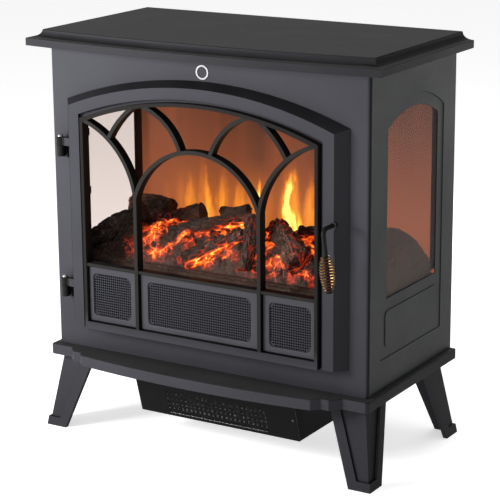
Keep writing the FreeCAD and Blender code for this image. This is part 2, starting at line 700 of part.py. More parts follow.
def thermostat_knob():
    skirt = rod((KNOB_X, 12, CONTROL_Z), (KNOB_X, 15.5, CONTROL_Z), 15)
    grip = rod((KNOB_X, 3.5, CONTROL_Z), (KNOB_X, 12.5, CONTROL_Z), 11)
    pointer = box(KNOB_X - 1.2, KNOB_X + 1.2, 3.5, 12.5, CONTROL_Z, CONTROL_Z + 13)
    shaft = rod((KNOB_X, 15, CONTROL_Z), (KNOB_X, 30, CONTROL_Z), 3.0)
    return fuse([skirt, grip, pointer, shaft])


def thermostat_body():
    case = box(KNOB_X - 14, KNOB_X + 14, 20, 38, CONTROL_Z - 14, CONTROL_Z + 14)
    bore = rod((KNOB_X, 19, CONTROL_Z), (KNOB_X, 31, CONTROL_Z), 3.0 + RUNNING_GAP)
    return case.cut(bore)


def cord_gland():
    flange = rod((GLAND_X, BODY_BACK, GLAND_Z), (GLAND_X, BODY_BACK + 2, GLAND_Z), 11)
    nose = Part.makeCone(8, 6.5, GLAND_LENGTH - 2, Vector(GLAND_X, BODY_BACK + 2, GLAND_Z), Y_AXIS)
    neck = rod((GLAND_X, BODY_BACK - 6, GLAND_Z), (GLAND_X, BODY_BACK + 1, GLAND_Z), 8)
    nut = rod((GLAND_X, BODY_BACK - 6, GLAND_Z), (GLAND_X, BACK_INSIDE, GLAND_Z), 11)
    bore = rod((GLAND_X, BODY_BACK - 7, GLAND_Z), (GLAND_X, REAR_Y + 1, GLAND_Z), 3.6)
    return fuse([flange, nose, neck, nut]).cut(bore)


def fixing_screws():
    screws = []
    for x in (-BODY_INNER + 8, BODY_INNER - 8):
        for z in BACK_SCREW_ZS:
            head = rod((x, BODY_BACK, z), (x, BODY_BACK + 2, z), 3.8)
            shank = rod((x, BACK_INSIDE - SHEET - 4, z), (x, BODY_BACK + 1, z), 1.8)
            screws.append(fuse([head, shank]))
    plate_low = BODY_BOTTOM - 2 * BASE_WALL
    for x, y in foot_screw_places():
        head = rod((x, y, plate_low - 2.2), (x, y, plate_low), 4.0)
        shank = rod((x, y, plate_low - 1), (x, y, BODY_BOTTOM), 2.0)
        screws.append(fuse([head, shank]))
    return group(screws)


# ---- door ---------------------------------------------------------------------------
def door_outline(inset, y, bottom=DOOR_BOTTOM):
    """Arched outline of the door front, moved in by inset (out where negative)."""
    return (DOOR_SIDE - inset, bottom, DOOR_SHOULDER - 0.39 * inset, DOOR_CROWN - 0.56 * inset, y)


def pane_prism(grow, y0, y1, bottom=RAIL_TOP):
    return arch_prism(PANE_HALF + grow, bottom, PANE_SHOULDER + grow, PANE_CROWN + grow, y0, y1)


def door_frame():
    wall = 3.0
    back = door_outline(-DOOR_BEVEL, DOOR_BACK, DOOR_BOTTOM - 1)
    body = arch_loft(door_outline(0, DOOR_FACE), back)
    # the inner casting: a rim round the glass, and a groove between it and the outer band
    groove = arch_prism(221, 100, 535.5, 576, LATTICE_FACE - 5, -14)
    rim = arch_prism(215.5, DOOR_BOTTOM, 530.5, 571, LATTICE_FACE, GLASS_FRONT)
    opening = pane_prism(0, LATTICE_FACE - 2, 1)
    # hollows behind: one for the glass, one inside the band
    flare = DOOR_BEVEL * (GLASS_FRONT - DOOR_FACE) / (DOOR_BACK - DOOR_FACE)
    glass_recess = arch_loft(
        door_outline(wall - flare, GLASS_FRONT, DOOR_BOTTOM + wall),
        door_outline(wall - DOOR_BEVEL - 0.8, 0.0, DOOR_BOTTOM + wall))
    band_hollow = arch_prism(DOOR_SIDE - wall, DOOR_BOTTOM + wall, 546, 590.5,
                             DOOR_FACE + wall, GLASS_FRONT + 1)
    band_hollow = band_hollow.cut(arch_prism(224, 100, 538.5, 579, DOOR_FACE, 0))
    boss = rod((HANDLE_X, DOOR_FACE, HANDLE_Z), (HANDLE_X, GLASS_FRONT, HANDLE_Z), 6.5)
    strike_pad = box(222, 242, DOOR_FACE + 1, GLASS_FRONT, 326, 366)
    bore = rod((HANDLE_X, DOOR_FACE - 4, HANDLE_Z), (HANDLE_X, 0, HANDLE_Z), HANDLE_ROD + RUNNING_GAP)
    lugs = [door_lug(z) for z in HINGE_BASES]
    pins = [rod((HINGE_X, HINGE_Y, z), (HINGE_X, HINGE_Y, z + 40), PIN_RADIUS + RUNNING_GAP)
            for z in HINGE_BASES]
    frame = body.cut(groove).fuse(rim).cut(opening.multiFuse([glass_recess, band_hollow]))
    return fuse([frame, boss, strike_pad] + lugs).cut(bore.multiFuse(pins))


def door_lug(base):
    low = base + DOOR_KNUCKLE_LOW
    high = base + DOOR_KNUCKLE_HIGH
    knuckle = rod((HINGE_X, HINGE_Y, low), (HINGE_X, HINGE_Y, high), KNUCKLE_RADIUS)
    arm = box(HINGE_X, -244.5, HINGE_Y - 3.5, HINGE_Y + 3.5, low, high)
    return knuckle.fuse(arm)


def ring_bar(x, z, radius):
    """Full ring of tracery bar round (x, z)."""
    back = GLASS_FRONT - 1
    outer = rod((x, LATTICE_FACE, z), (x, back, z), radius + BAR / 2)
    return outer.cut(inside_of(x, z, radius))


def inside_of(x, z, radius):
    return rod((x, LATTICE_FACE - 1, z), (x, 0, z), radius - BAR / 2)


def door_tracery():
    """Centre arch, an arc in each upper corner and a pointed arch between them, on two mullions."""
    back = GLASS_FRONT - 1
    top = PANE_CROWN + 5
    centre_band = box(-MULLION_X, MULLION_X, LATTICE_FACE, back, 404, top)
    side_band = box(-PANE_HALF, -MULLION_X, LATTICE_FACE, back, SIDE_ARC[1], top)
    outer_band = box(-PANE_HALF, LEGS_MEET_X, LATTICE_FACE, back, SIDE_ARC[1], top)
    inner_band = box(LEGS_MEET_X - BAR, 0, LATTICE_FACE, back, SIDE_ARC[1], top)
    under_arches = inside_of(*CENTRE_ARCH).multiFuse(both_sides(inside_of(*SIDE_ARC)))
    bars = [ring_bar(*CENTRE_ARCH).common(centre_band)]
    bars += both_sides(ring_bar(*SIDE_ARC).common(side_band))
    for leg, band in ((OUTER_LEG, outer_band), (INNER_LEG, inner_band)):
        bars += both_sides(ring_bar(*leg).common(band).cut(under_arches))
    mullion = box(-MULLION_X - BAR / 2, -MULLION_X + BAR / 2, LATTICE_FACE, back, RAIL_TOP, 412)
    bars += both_sides(mullion)
    bars.append(box(-PANE_HALF, PANE_HALF, LATTICE_FACE + 1, back, SILL_BOTTOM, SILL_TOP))
    return fuse(bars).common(pane_prism(0, LATTICE_FACE, back))


def grille(x0, x1, field_x0, field_x1):
    """Panel under the glass with a sunk, perforated field."""
    low, high = GRILLE_FIELD
    pitch = GRILLE_HOLE_PITCH
    plate = box(x0, x1, GRILLE_FACE, GRILLE_FACE + 3, RAIL_TOP, SILL_BOTTOM)
    field = rounded_plate(field_x0, field_x1, low, high, GRILLE_FACE - 1, GRILLE_FACE + 1.4, 8)
    columns = int((field_x1 - field_x0 - 4) // pitch)
    rows = int((high - low - 4) // pitch)
    holes = []
    for column in range(columns):
        x = (field_x0 + field_x1 - (columns - 1) * pitch) / 2 + column * pitch
        for row in range(rows):
            z = (low + high - (rows - 1) * pitch) / 2 + row * pitch
            holes.append(rod((x, GRILLE_FACE, z), (x, GRILLE_FACE + 4, z), 3.2))
    return plate.cut(field).cut(group(holes))


def door_glass():
    return pane_prism(5.0, GLASS_FRONT, GLASS_FRONT + GLASS, SILL_BOTTOM - 6)


def glass_retainers():
    clips = []
    back = GLASS_FRONT + GLASS
    for z in (310.0, 410.0, 505.0):
        tab = box(212, 226, back, back + 1.5, z - 6, z + 6)
        foot = box(218, 226, GLASS_FRONT, back, z - 6, z + 6)
        clips += both_sides(fuse([tab, foot]))
    return group(clips)


def strike_plate():
    return box(229, 233, GLASS_FRONT, GLASS_FRONT + 1.2, 330, 362).fuse(
        box(225.5, 236, GLASS_FRONT, GLASS_FRONT + 1.2, 336, 356)).removeSplitter()


def door_magnet():
    case = box(226, 236, GLASS_FRONT + 1.8, 0, 336, 356)
    return case.cut(box(228, 234, GLASS_FRONT + 1, GLASS_FRONT + 2.6, 338, 354))


# ---- hinges -------------------------------------------------------------------------
def hinge_brackets():
    brackets = []
    for base in HINGE_BASES:
        top = base + DOOR_KNUCKLE_LOW - 0.4
        knuckle = rod((HINGE_X, HINGE_Y, base), (HINGE_X, HINGE_Y, top), KNUCKLE_RADIUS)
        web = box(HINGE_X - 3, HINGE_X + 3, HINGE_Y, 0, base, top)
        plate = box(HINGE_X - 8, HINGE_X + 6.5, -2.5, 0, base - 3, base + DOOR_KNUCKLE_LOW + 2)
        hole = rod((HINGE_X, HINGE_Y, base - 1), (HINGE_X, HINGE_Y, base + 20), PIN_RADIUS)
        brackets.append(fuse([knuckle, web, plate]).cut(hole))
    return group(brackets)


def hinge_pins():
    pins = []
    for base in HINGE_BASES:
        top = base + DOOR_KNUCKLE_HIGH + 0.4
        shank = rod((HINGE_X, HINGE_Y, base), (HINGE_X, HINGE_Y, top), PIN_RADIUS)
        head = Part.makeSphere(5.0, Vector(HINGE_X, HINGE_Y, top), Z_AXIS, 0, 90, 360)
        pins.append(fuse([shank, head]))
    return group(pins)


# ---- handle -------------------------------------------------------------------------
def lever_point(distance):
    """Point on the hanging lever, measured down from the shank's axis."""
    return Vector(HANDLE_X + distance * math.sin(HANDLE_LEAN), HANDLE_PLANE,
                  HANDLE_Z - distance * math.cos(HANDLE_LEAN))


def handle_rod():
    down = (lever_point(1) - lever_point(0)).normalize()
    shank_end = Vector(HANDLE_X, HANDLE_PLANE + HANDLE_BEND, HANDLE_Z)
    shank = rod((HANDLE_X, -4, HANDLE_Z), tuple(shank_end), HANDLE_ROD)
    bend_end = lever_point(HANDLE_BEND)
    centre = shank_end + down * HANDLE_BEND
    halfway = centre + (Vector(0, -1, 0) - down).normalize() * HANDLE_BEND
    path = Part.Wire([Part.Arc(shank_end, halfway, bend_end).toShape()])
    section = Part.Wire([Part.makeCircle(HANDLE_ROD, shank_end, Y_AXIS)])
    bend = path.makePipeShell([section], True, False)
    lever_end = lever_point(COIL_START + COIL_LENGTH + 2.5)
    lever = rod(tuple(bend_end), tuple(lever_end), HANDLE_ROD)
    tip = rod(tuple(lever_point(COIL_START + COIL_LENGTH + 0.3)), tuple(lever_end), 5.5)
    nut = rod((HANDLE_X, GLASS_FRONT + 0.3, HANDLE_Z), (HANDLE_X, -4, HANDLE_Z), 7)
    return fuse([shank, bend, lever, tip, nut])


def handle_coil():
    """Barrel of wire turns round the lever, as one ribbed sleeve."""
    pitch = COIL_LENGTH / COIL_TURNS
    inner = HANDLE_ROD
    points = [Vector(inner, 0, 0)]
    edges = []

    def barrel(distance):
        offset = 2 * distance / COIL_LENGTH - 1
        return COIL_MIDDLE_RADIUS - (COIL_MIDDLE_RADIUS - COIL_END_RADIUS) * offset * offset

    start = Vector(barrel(0) - 1.2, 0, 0)
    edges.append(Part.makeLine(points[0], start))
    for turn in range(COIL_TURNS):
        crest = Vector(barrel((turn + 0.5) * pitch), 0, -(turn + 0.5) * pitch)
        end = Vector(barrel((turn + 1) * pitch) - 1.2, 0, -(turn + 1) * pitch)
        edges.append(Part.Arc(start, crest, end).toShape())
        start = end
    bottom = Vector(inner, 0, -COIL_LENGTH)
    edges.append(Part.makeLine(start, bottom))
    edges.append(Part.makeLine(bottom, points[0]))
    sleeve = Part.Face(Part.Wire(edges)).revolve(Vector(0, 0, 0), Z_AXIS, 360)
    sleeve.rotate(Vector(0, 0, 0), Y_AXIS, -math.degrees(HANDLE_LEAN))
    sleeve.translate(lever_point(COIL_START))
    return Part.makeSolid(sleeve.Shells[0])


# ---- everything ----------------------------------------------------------------------
def all_parts():
    mirrored = {"side_panel": right_side_panel(), "side_glass": right_side_glass()}
    parts = {"top_slab": top_slab(), "top_deck": top_deck(), "front_panel": front_panel(),
             "back_panel": back_panel(), "base_plinth": base_plinth()}
    for name, shape in mirrored.items():
        parts["right_" + name] = shape
        parts["left_" + name] = shape.mirror(Vector(0, 0, 0), X_AXIS)
    parts.update(feet())
    logs = log_set()
    parts.update(logs)
    parts["ember_bed"] = ember_bed(logs)
    edge = MULLION_X + BAR / 2
    parts["left_grille"] = grille(-PANE_HALF, -edge, 9 - PANE_HALF, -edge - 12.2)
    parts["centre_grille"] = grille(BAR - edge, edge - BAR, -95, 95)
    parts["right_grille"] = grille(edge, PANE_HALF, edge + 12.2, PANE_HALF - 9)
    parts["flame_rocker"] = rocker(SWITCH_XS[0])
    parts["heat_rocker"] = rocker(SWITCH_XS[1])
    makers = (side_glass_clips, badge_ring, firebox_floor, flame_screen, led_boards, flame_rotor,
              rotor_brackets, flame_motor, heater_box, outlet_grille, indicator_lens,
              heating_element, thermal_cutout, blower_wheel, blower_scroll, blower_motor,
              control_panel, switch_housings, thermostat_knob, thermostat_body, cord_gland,
              fixing_screws, door_frame, door_tracery, door_glass, glass_retainers, strike_plate,
              door_magnet, hinge_brackets, hinge_pins, handle_rod, handle_coil)
    for maker in makers:
        parts[maker.__name__] = maker()
    return parts


os.makedirs("parts", exist_ok=True)
for name, shape in all_parts().items():
    export(shape, name)
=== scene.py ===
import json
import math

import bmesh
import bpy
from mathutils import Matrix, Vector, noise


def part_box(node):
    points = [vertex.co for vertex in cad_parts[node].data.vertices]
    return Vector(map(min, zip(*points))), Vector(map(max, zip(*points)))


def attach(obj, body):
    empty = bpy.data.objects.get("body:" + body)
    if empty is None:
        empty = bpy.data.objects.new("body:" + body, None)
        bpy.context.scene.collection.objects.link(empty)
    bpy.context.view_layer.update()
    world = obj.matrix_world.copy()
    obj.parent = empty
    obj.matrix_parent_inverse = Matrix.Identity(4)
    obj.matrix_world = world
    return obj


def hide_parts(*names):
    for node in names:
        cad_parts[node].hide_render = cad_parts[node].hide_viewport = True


# Looks of the free-standing electric fireplace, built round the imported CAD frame.
# Metres, +Z up, the door faces -Y. PANEL_Y is the face of the front panel.

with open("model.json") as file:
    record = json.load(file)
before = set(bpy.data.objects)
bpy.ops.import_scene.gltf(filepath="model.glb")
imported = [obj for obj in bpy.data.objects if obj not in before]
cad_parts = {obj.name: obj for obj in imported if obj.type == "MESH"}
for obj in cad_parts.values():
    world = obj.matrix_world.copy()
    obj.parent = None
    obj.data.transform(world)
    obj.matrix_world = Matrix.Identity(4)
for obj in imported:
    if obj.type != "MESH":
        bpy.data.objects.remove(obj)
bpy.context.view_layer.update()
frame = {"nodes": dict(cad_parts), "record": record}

PANEL_Y = -0.119225
FLOOR_TOP = 0.2795


# ---- shader helpers ------------------------------------------------------------------
class Shader:
    """One material with short calls for adding and linking its nodes."""

    def __init__(self, name, **settings):
        self.material = bpy.data.materials.new(name)
        self.material.use_nodes = True
        self.tree = self.material.node_tree
        self.surface = self.tree.nodes["Principled BSDF"]
        for key, value in settings.items():
            self.surface.inputs[key.replace("_", " ")].default_value = value

    def node(self, kind, inputs=None, **properties):
        made = self.tree.nodes.new("ShaderNode" + kind)
        for key, value in properties.items():
            setattr(made, key, value)
        for key, value in (inputs or {}).items():
            if isinstance(value, bpy.types.NodeSocket):
                self.tree.links.new(value, made.inputs[key])
            else:
                made.inputs[key].default_value = value
        return made

    def set(self, socket, value):
        self.tree.links.new(value, self.surface.inputs[socket])

    def math(self, operation, a, b=0.0, c=0.0, clamp=False):
        made = self.node("Math", {0: a, 1: b, 2: c}, operation=operation, use_clamp=clamp)
        return made.outputs[0]

    def coordinates(self, scale=(1, 1, 1), shift=(0, 0, 0)):
        place = self.node("TexCoord").outputs["Object"]
        return self.node("Mapping", {"Vector": place, "Scale": scale, "Location": shift}).outputs[0]

    def noise(self, vector, scale, detail=3.0, roughness=0.55, distortion=0.0):
        made = self.node("TexNoise", {"Vector": vector, "Scale": scale, "Detail": detail,
                                      "Roughness": roughness, "Distortion": distortion})
        return made.outputs[0]

    def cells(self, vector, scale, feature="F1", randomness=1.0):
        made = self.node("TexVoronoi", {"Vector": vector, "Scale": scale, "Randomness": randomness},
                         feature=feature)
        return made.outputs["Distance"]

    def spread(self, value, low, high, to_low=0.0, to_high=1.0, smooth=False):
        kind = "SMOOTHSTEP" if smooth else "LINEAR"
        made = self.node("MapRange", {"Value": value, "From Min": low, "From Max": high,
                                      "To Min": to_low, "To Max": to_high}, interpolation_type=kind)
        return made.outputs[0]

    def ramp(self, value, stops):
        made = self.node("ValToRGB", {"Fac": value})
        while len(made.color_ramp.elements) < len(stops):
            made.color_ramp.elements.new(0.5)
        for element, (place, colour) in zip(made.color_ramp.elements, stops):
            element.position = place
            element.color = (*colour, 1.0)
        return made.outputs[0]

    def mix(self, share, a, b):
        made = self.node("Mix", data_type="RGBA")
        for key, value in ((0, share), (6, a), (7, b)):
            if isinstance(value, bpy.types.NodeSocket):
                self.tree.links.new(value, made.inputs[key])
            elif key == 0:
                made.inputs[key].default_value = value
            else:
                made.inputs[key].default_value = (*value, 1.0)
        return made.outputs[2]

    def facing(self):
        """How far the surface faces the front of the object, and how far upwards."""
        normal = self.node("SeparateXYZ", {0: self.node("NewGeometry").outputs["Normal"]})
        front = self.spread(normal.outputs[1], -0.35, -0.85)
        return front, normal.outputs[2]

    def attribute(self, name):
        return self.node("Attribute", attribute_name=name).outputs["Fac"]

    def bump(self, height, strength, distance):
        made = self.node("Bump", {"Height": height, "Strength": strength, "Distance": distance})
        self.set("Normal", made.outputs[0])


# ---- materials -----------------------------------------------------------------------
def powder_paint(name, front, other, roughness, specular, grain=1.0, upward_painted_light=None, rim=None):
    """Satin powder coat with orange peel and a little dust, and with painted light on it. The front colour
    is a bluish painted sheen on faces that look to the front, weaker towards the bottom and the right as
    painted shade; the other colour covers the other faces and is darker towards the bottom as painted shade.

    The upward colour is painted light on faces that look up, with the steepness at which it starts and is
    full.
    The rim colour is painted shade on the door's raised inner rim, and the same dark colour goes on its
    hinge knuckles.
    """
    m = Shader(name, Specular_IOR_Level=specular)
    place = m.coordinates()
    cloud = m.noise(place, 9.0, 4.0)
    speckle = m.noise(place, 260.0, 2.0)
    turned, up = m.facing()
    dust = m.math("MULTIPLY", m.spread(up, 0.5, 1.0), m.spread(cloud, 0.45, 0.75, 0.0, 0.06))
    split = m.node("SeparateXYZ", {0: place}).outputs
    # painted shade: the front sheen weakens towards the bottom and towards the right
    painted_shade_fade = m.math("MULTIPLY", m.spread(split[2], 0.04, 0.40, 0.56, 1.0),
                    m.spread(split[0], -0.25, 0.30, 1.0, 0.84))
    # painted sheen on the faces that look to the front
    painted_sheen = m.math("MULTIPLY", turned, m.math("MULTIPLY", painted_shade_fade, m.spread(cloud, 0.3, 0.7, 0.86, 1.0)))
    # painted shade: the other faces get darker towards the bottom
    other_with_painted_shade = m.mix(m.spread(split[2], 0.04, 0.50), tuple(c * 0.35 for c in other), other)
    coat = m.mix(painted_sheen, other_with_painted_shade, front)
    # painted light: faces that look up get the upward colour
    if upward_painted_light:
        colour, start, full = upward_painted_light
        coat = m.mix(m.spread(up, start, full), coat, colour)
    # painted shade on the door's raised inner rim above about 0.2 m; the hinge knuckles get the same dark
    # colour
    if rim:
        raised = m.spread(split[1], PANEL_Y - 0.0220, PANEL_Y - 0.0228)
        knuckle = m.spread(split[0], -0.2532, -0.2545)
        share = m.math("MULTIPLY", m.math("MAXIMUM", raised, knuckle), m.spread(split[2], 0.186, 0.215))
        coat = m.mix(share, coat, rim)
    m.set("Base Color", m.mix(dust, coat, (0.16, 0.155, 0.15)))
    rough = m.math("ADD", m.spread(cloud, 0.3, 0.7, roughness - 0.04, roughness + 0.05),
                   m.spread(speckle, 0.3, 0.7, -0.03, 0.03))
    m.set("Roughness", rough)
    peel = m.math("ADD", m.noise(place, 620.0, 2.0), m.math("MULTIPLY", speckle, 0.6))
    m.bump(peel, 0.12 * grain, 0.0004)
    return m.material


def grille_paint():
    """Painted panel with a bluish painted sheen on its flat border, its sunk mesh darker than the border as
    painted shade, and the hole sleeves near black as painted shade.
    """
    m = Shader("grille_paint", Specular_IOR_Level=0.15)
    place = m.coordinates()
    depth = m.node("SeparateXYZ", {0: place}).outputs[1]
    cloud = m.noise(place, 14.0, 4.0)
    # painted sheen: the border carries a bluish sheen like the front faces of the paint
    border_painted_sheen = m.mix(m.spread(cloud, 0.3, 0.7), (0.036, 0.036, 0.042), (0.045, 0.045, 0.053))
    # painted shade: the sunk mesh is darker than the border, and the hole sleeves behind it are near black
    sunk = m.spread(depth, PANEL_Y - 0.0198, PANEL_Y - 0.0190)
    inside = m.spread(depth, PANEL_Y - 0.0184, PANEL_Y - 0.0181)
    mesh = m.mix(inside, (0.019, 0.019, 0.024), (0.002, 0.002, 0.002))
    m.set("Base Color", m.mix(sunk, border_painted_sheen, mesh))
    m.set("Roughness", m.spread(m.noise(place, 260.0, 2.0), 0.3, 0.7, 0.48, 0.60))
    m.bump(m.noise(place, 620.0, 2.0), 0.12, 0.0004)
    return m.material


def brass_wire():
    """Lacquered brass wire with tarnish: bright brass at the sides of the coil, and on the side that faces
    the camera a dark copper colour, a painted dark reflection.
    """
    m = Shader("coil_brass", Metallic=1.0)
    place = m.coordinates()
    tarnish = m.noise(place, 70.0, 4.0)
    brass = m.ramp(tarnish, [(0.3, (0.55, 0.36, 0.17)), (0.55, (0.80, 0.56, 0.30)),
                             (0.75, (0.92, 0.72, 0.45))])
    dark_reflection_copper = m.ramp(tarnish, [(0.3, (0.035, 0.011, 0.006)), (0.7, (0.11, 0.040, 0.020))])
    # painted dark reflection: the side of the coil that faces the camera is mixed to dark copper
    m.set("Base Color", m.mix(m.attribute("painted_dark_reflection"), brass, dark_reflection_copper))
    m.set("Roughness", m.spread(tarnish, 0.3, 0.7, 0.34, 0.22))
    m.bump(m.noise(place, 900.0, 2.0), 0.10, 0.0002)
    return m.material


def bare_metal(name, colour, roughness, brushed=(1, 1, 1)):
    m = Shader(name, Metallic=1.0)
    streaks = m.noise(m.coordinates(brushed), 420.0, 3.0)
    dark = tuple(c * 0.75 for c in colour)
    m.set("Base Color", m.mix(m.spread(streaks, 0.3, 0.7), dark, colour))
    m.set("Roughness", m.spread(streaks, 0.3, 0.7, roughness - 0.06, roughness + 0.08))
    m.bump(streaks, 0.08, 0.0002)
    return m.material


def moulded_plastic(name, colour, roughness):
    m = Shader(name)
    place = m.coordinates()
    grain = m.noise(place, 1100.0, 2.0)
    cloud = m.noise(place, 30.0, 3.0)
    m.set("Base Color", m.mix(m.spread(cloud, 0.3, 0.7), tuple(c * 0.85 for c in colour), colour))
    m.set("Roughness", m.spread(grain, 0.3, 0.7, roughness - 0.06, roughness + 0.06))
    m.bump(grain, 0.18, 0.0003)
    return m.material


def clear_glass(name, tint, haze):
    """Clear pane with faint smears and a film of dust; lamps shine through it."""
    m = Shader(name, Base_Color=(*tint, 1.0), Transmission_Weight=1.0 - haze, IOR=1.05)
    place = m.coordinates()
    smear = m.noise(place, 7.0, 5.0)
    m.set("Roughness", m.spread(smear, 0.45, 0.8, 0.0, 0.015))
    clear = m.node("BsdfTransparent", {"Color": (*tint, 1.0)})
    path = m.node("LightPath").outputs["Is Shadow Ray"]
    mixed = m.node("MixShader", {0: path, 1: m.surface.outputs[0], 2: clear.outputs[0]})
    m.tree.links.new(mixed.outputs[0], m.tree.nodes["Material Output"].inputs["Surface"])
    return m.material


EMBER_STOPS = [(0.0, (0.10, 0.004, 0.001)), (0.30, (0.55, 0.025, 0.004)),
               (0.58, (0.95, 0.13, 0.010)), (0.82, (1.0, 0.36, 0.04)), (1.0, (1.0, 0.72, 0.22))]


def charred_log():
    """Burnt bark: brown-black with pale grey on the ridges of the upper side, partly ash and partly a
    painted highlight, and embers in the cracks.
    """
    m = Shader("charred_log", Specular_IOR_Level=0.14)
    place = m.coordinates()
    ash_and_highlight = m.attribute("ash_and_highlight")
    heat = m.attribute("warmth")
    fine = m.noise(place, 150.0, 5.0, 0.65)
    coarse = m.noise(place, 38.0, 4.0)
    bark = m.ramp(coarse, [(0.32, (0.006, 0.004, 0.003)), (0.52, (0.026, 0.013, 0.009)),
                           (0.72, (0.075, 0.036, 0.022))])
    # pale grey on the upper side: partly ash, partly a painted highlight on the log tops
    pale = m.math("MULTIPLY", m.spread(fine, 0.47, 0.74), ash_and_highlight, clamp=True)
    m.set("Base Color", m.mix(pale, bark, (0.15, 0.115, 0.10)))
    m.set("Roughness", m.spread(fine, 0.3, 0.7, 0.68, 0.95))
    flicker = m.spread(m.noise(place, 85.0, 3.0), 0.32, 0.60, 0.25, 1.0)
    glow = m.math("MULTIPLY", heat, flicker, clamp=True)
    m.set("Emission Color", m.ramp(glow, EMBER_STOPS))
    m.set("Emission Strength", m.spread(glow, 0.06, 0.9, 0.0, 2.4))
    m.bump(m.math("ADD", fine, m.math("MULTIPLY", m.noise(place, 420.0, 3.0), 0.4)), 0.55, 0.0016)
    return m.material


def ember_material():
    """Lit resin coals: red-orange bodies, yellow lines between them, dark crusts and grey ash."""
    m = Shader("ember_coals", Specular_IOR_Level=0.14)
    place = m.coordinates()
    wobble = m.node("TexNoise", {"Vector": place, "Scale": 60.0, "Detail": 2.0}).outputs["Color"]
    bent = m.node("VectorMath", {0: wobble, 1: (0.5, 0.5, 0.5)}, operation="SUBTRACT").outputs[0]
    bent = m.node("VectorMath", {0: bent, "Scale": 0.010}, operation="SCALE").outputs[0]
    bent = m.node("VectorMath", {0: place, 1: bent}, operation="ADD").outputs[0]
    seams = m.cells(bent, 62.0, "DISTANCE_TO_EDGE")
    veins = m.spread(seams, 0.0, 0.075, 1.0, 0.0)
    heat = m.attribute("warmth")
    crust = m.noise(place, 46.0, 4.0, 0.6)
    fine = m.noise(place, 170.0, 4.0, 0.65)
    body = m.math("MULTIPLY", m.spread(crust, 0.59, 0.42), m.spread(fine, 0.30, 0.60, 0.55, 1.0))
    threads = m.math("MULTIPLY", veins, m.spread(crust, 0.66, 0.48, 0.0, 0.42))
    body = m.math("MULTIPLY_ADD", body, 0.58, threads)
    glow = m.math("MULTIPLY", body, heat, clamp=True)
    m.set("Base Color", m.ramp(fine, [(0.3, (0.010, 0.006, 0.005)), (0.55, (0.040, 0.020, 0.013)),
                                      (0.75, (0.085, 0.055, 0.044))]))
    m.set("Roughness", m.spread(fine, 0.3, 0.7, 0.55, 0.9))
    m.set("Emission Color", m.ramp(glow, EMBER_STOPS))
    m.set("Emission Strength", m.spread(glow, 0.05, 0.95, 0.0, 2.6))
    m.bump(m.math("ADD", fine, m.math("MULTIPLY", seams, 1.2)), 0.6, 0.0018)
    return m.material


FLAMES = (                      # x, foot z, height, half width, lean, brightness
    (0.004, 0.332, 0.098, 0.0120, 0.010, 0.78),
    (0.021, 0.308, 0.066, 0.0130, -0.010, 0.72),
    (0.034, 0.306, 0.050, 0.0110, -0.004, 0.40),
    (0.012, 0.300, 0.165, 0.0420, 0.004, 0.36),
    (-0.044, 0.330, 0.078, 0.0110, -0.002, 0.80),
    (-0.185, 0.300, 0.120, 0.0230, 0.002, 0.26),
    (-0.152, 0.300, 0.160, 0.0250, -0.004, 0.33),
    (-0.120, 0.300, 0.155, 0.0240, 0.004, 0.33),
    (-0.085, 0.300, 0.130, 0.0240, 0.002, 0.24),
    (0.052, 0.300, 0.140, 0.0220, -0.002, 0.26),
    (0.095, 0.300, 0.110, 0.0260, 0.003, 0.24),
    (0.150, 0.300, 0.110, 0.0300, 0.002, 0.24),
    (-0.232, 0.300, 0.090, 0.0220, 0.002, 0.16),
)


def tongue(m, x, z, flame):
    """Brightness of one flame at (x, z): a leaning teardrop that fades towards its tip."""
    centre, foot, height, half_width, lean, brightness = flame
    up = m.spread(z, foot, foot + height)
    across = m.math("SUBTRACT", x, m.math("MULTIPLY_ADD", up, lean, centre))
    taper = m.math("MULTIPLY_ADD", m.math("POWER", up, 0.8), -0.85, 1.0)
    width = m.math("MULTIPLY", taper, half_width)
    share = m.math("DIVIDE", across, width)
    core = m.math("POWER", m.math("SUBTRACT", 1.0, m.math("MULTIPLY", share, share), clamp=True), 1.5)
    fade = m.math("MULTIPLY", m.spread(z, foot - 0.02, foot + 0.02),
                  m.spread(z, foot + height, foot + height * 0.35, smooth=True))
    return m.math("MULTIPLY", m.math("MULTIPLY", core, fade), brightness)


def flame_light(m, x, z):
    """Brightness of all the flames together, swaying more the higher they rise."""
    drift = m.noise(m.coordinates((1, 1, 0.55)), 26.0, 3.0)
    lick = m.noise(m.coordinates((1, 1, 0.4)), 75.0, 3.0)
    rise = m.spread(z, 0.31, 0.42, 0.15, 1.0)
    sway = m.math("MULTIPLY", m.math("SUBTRACT", drift, 0.5), m.math("MULTIPLY", rise, 0.040))
    flutter = m.math("MULTIPLY", m.math("SUBTRACT", lick, 0.5), 0.014)
    bent_x = m.math("ADD", x, m.math("ADD", sway, flutter))
    total = tongue(m, bent_x, z, FLAMES[0])
    for flame in FLAMES[1:]:
        total = m.math("ADD", total, tongue(m, bent_x, z, flame))
    streak = m.spread(m.noise(m.coordinates((1, 1, 0.10)), 70.0, 2.0), 0.38, 0.62, 0.45, 1.25)
    return m.math("MULTIPLY", total, streak)


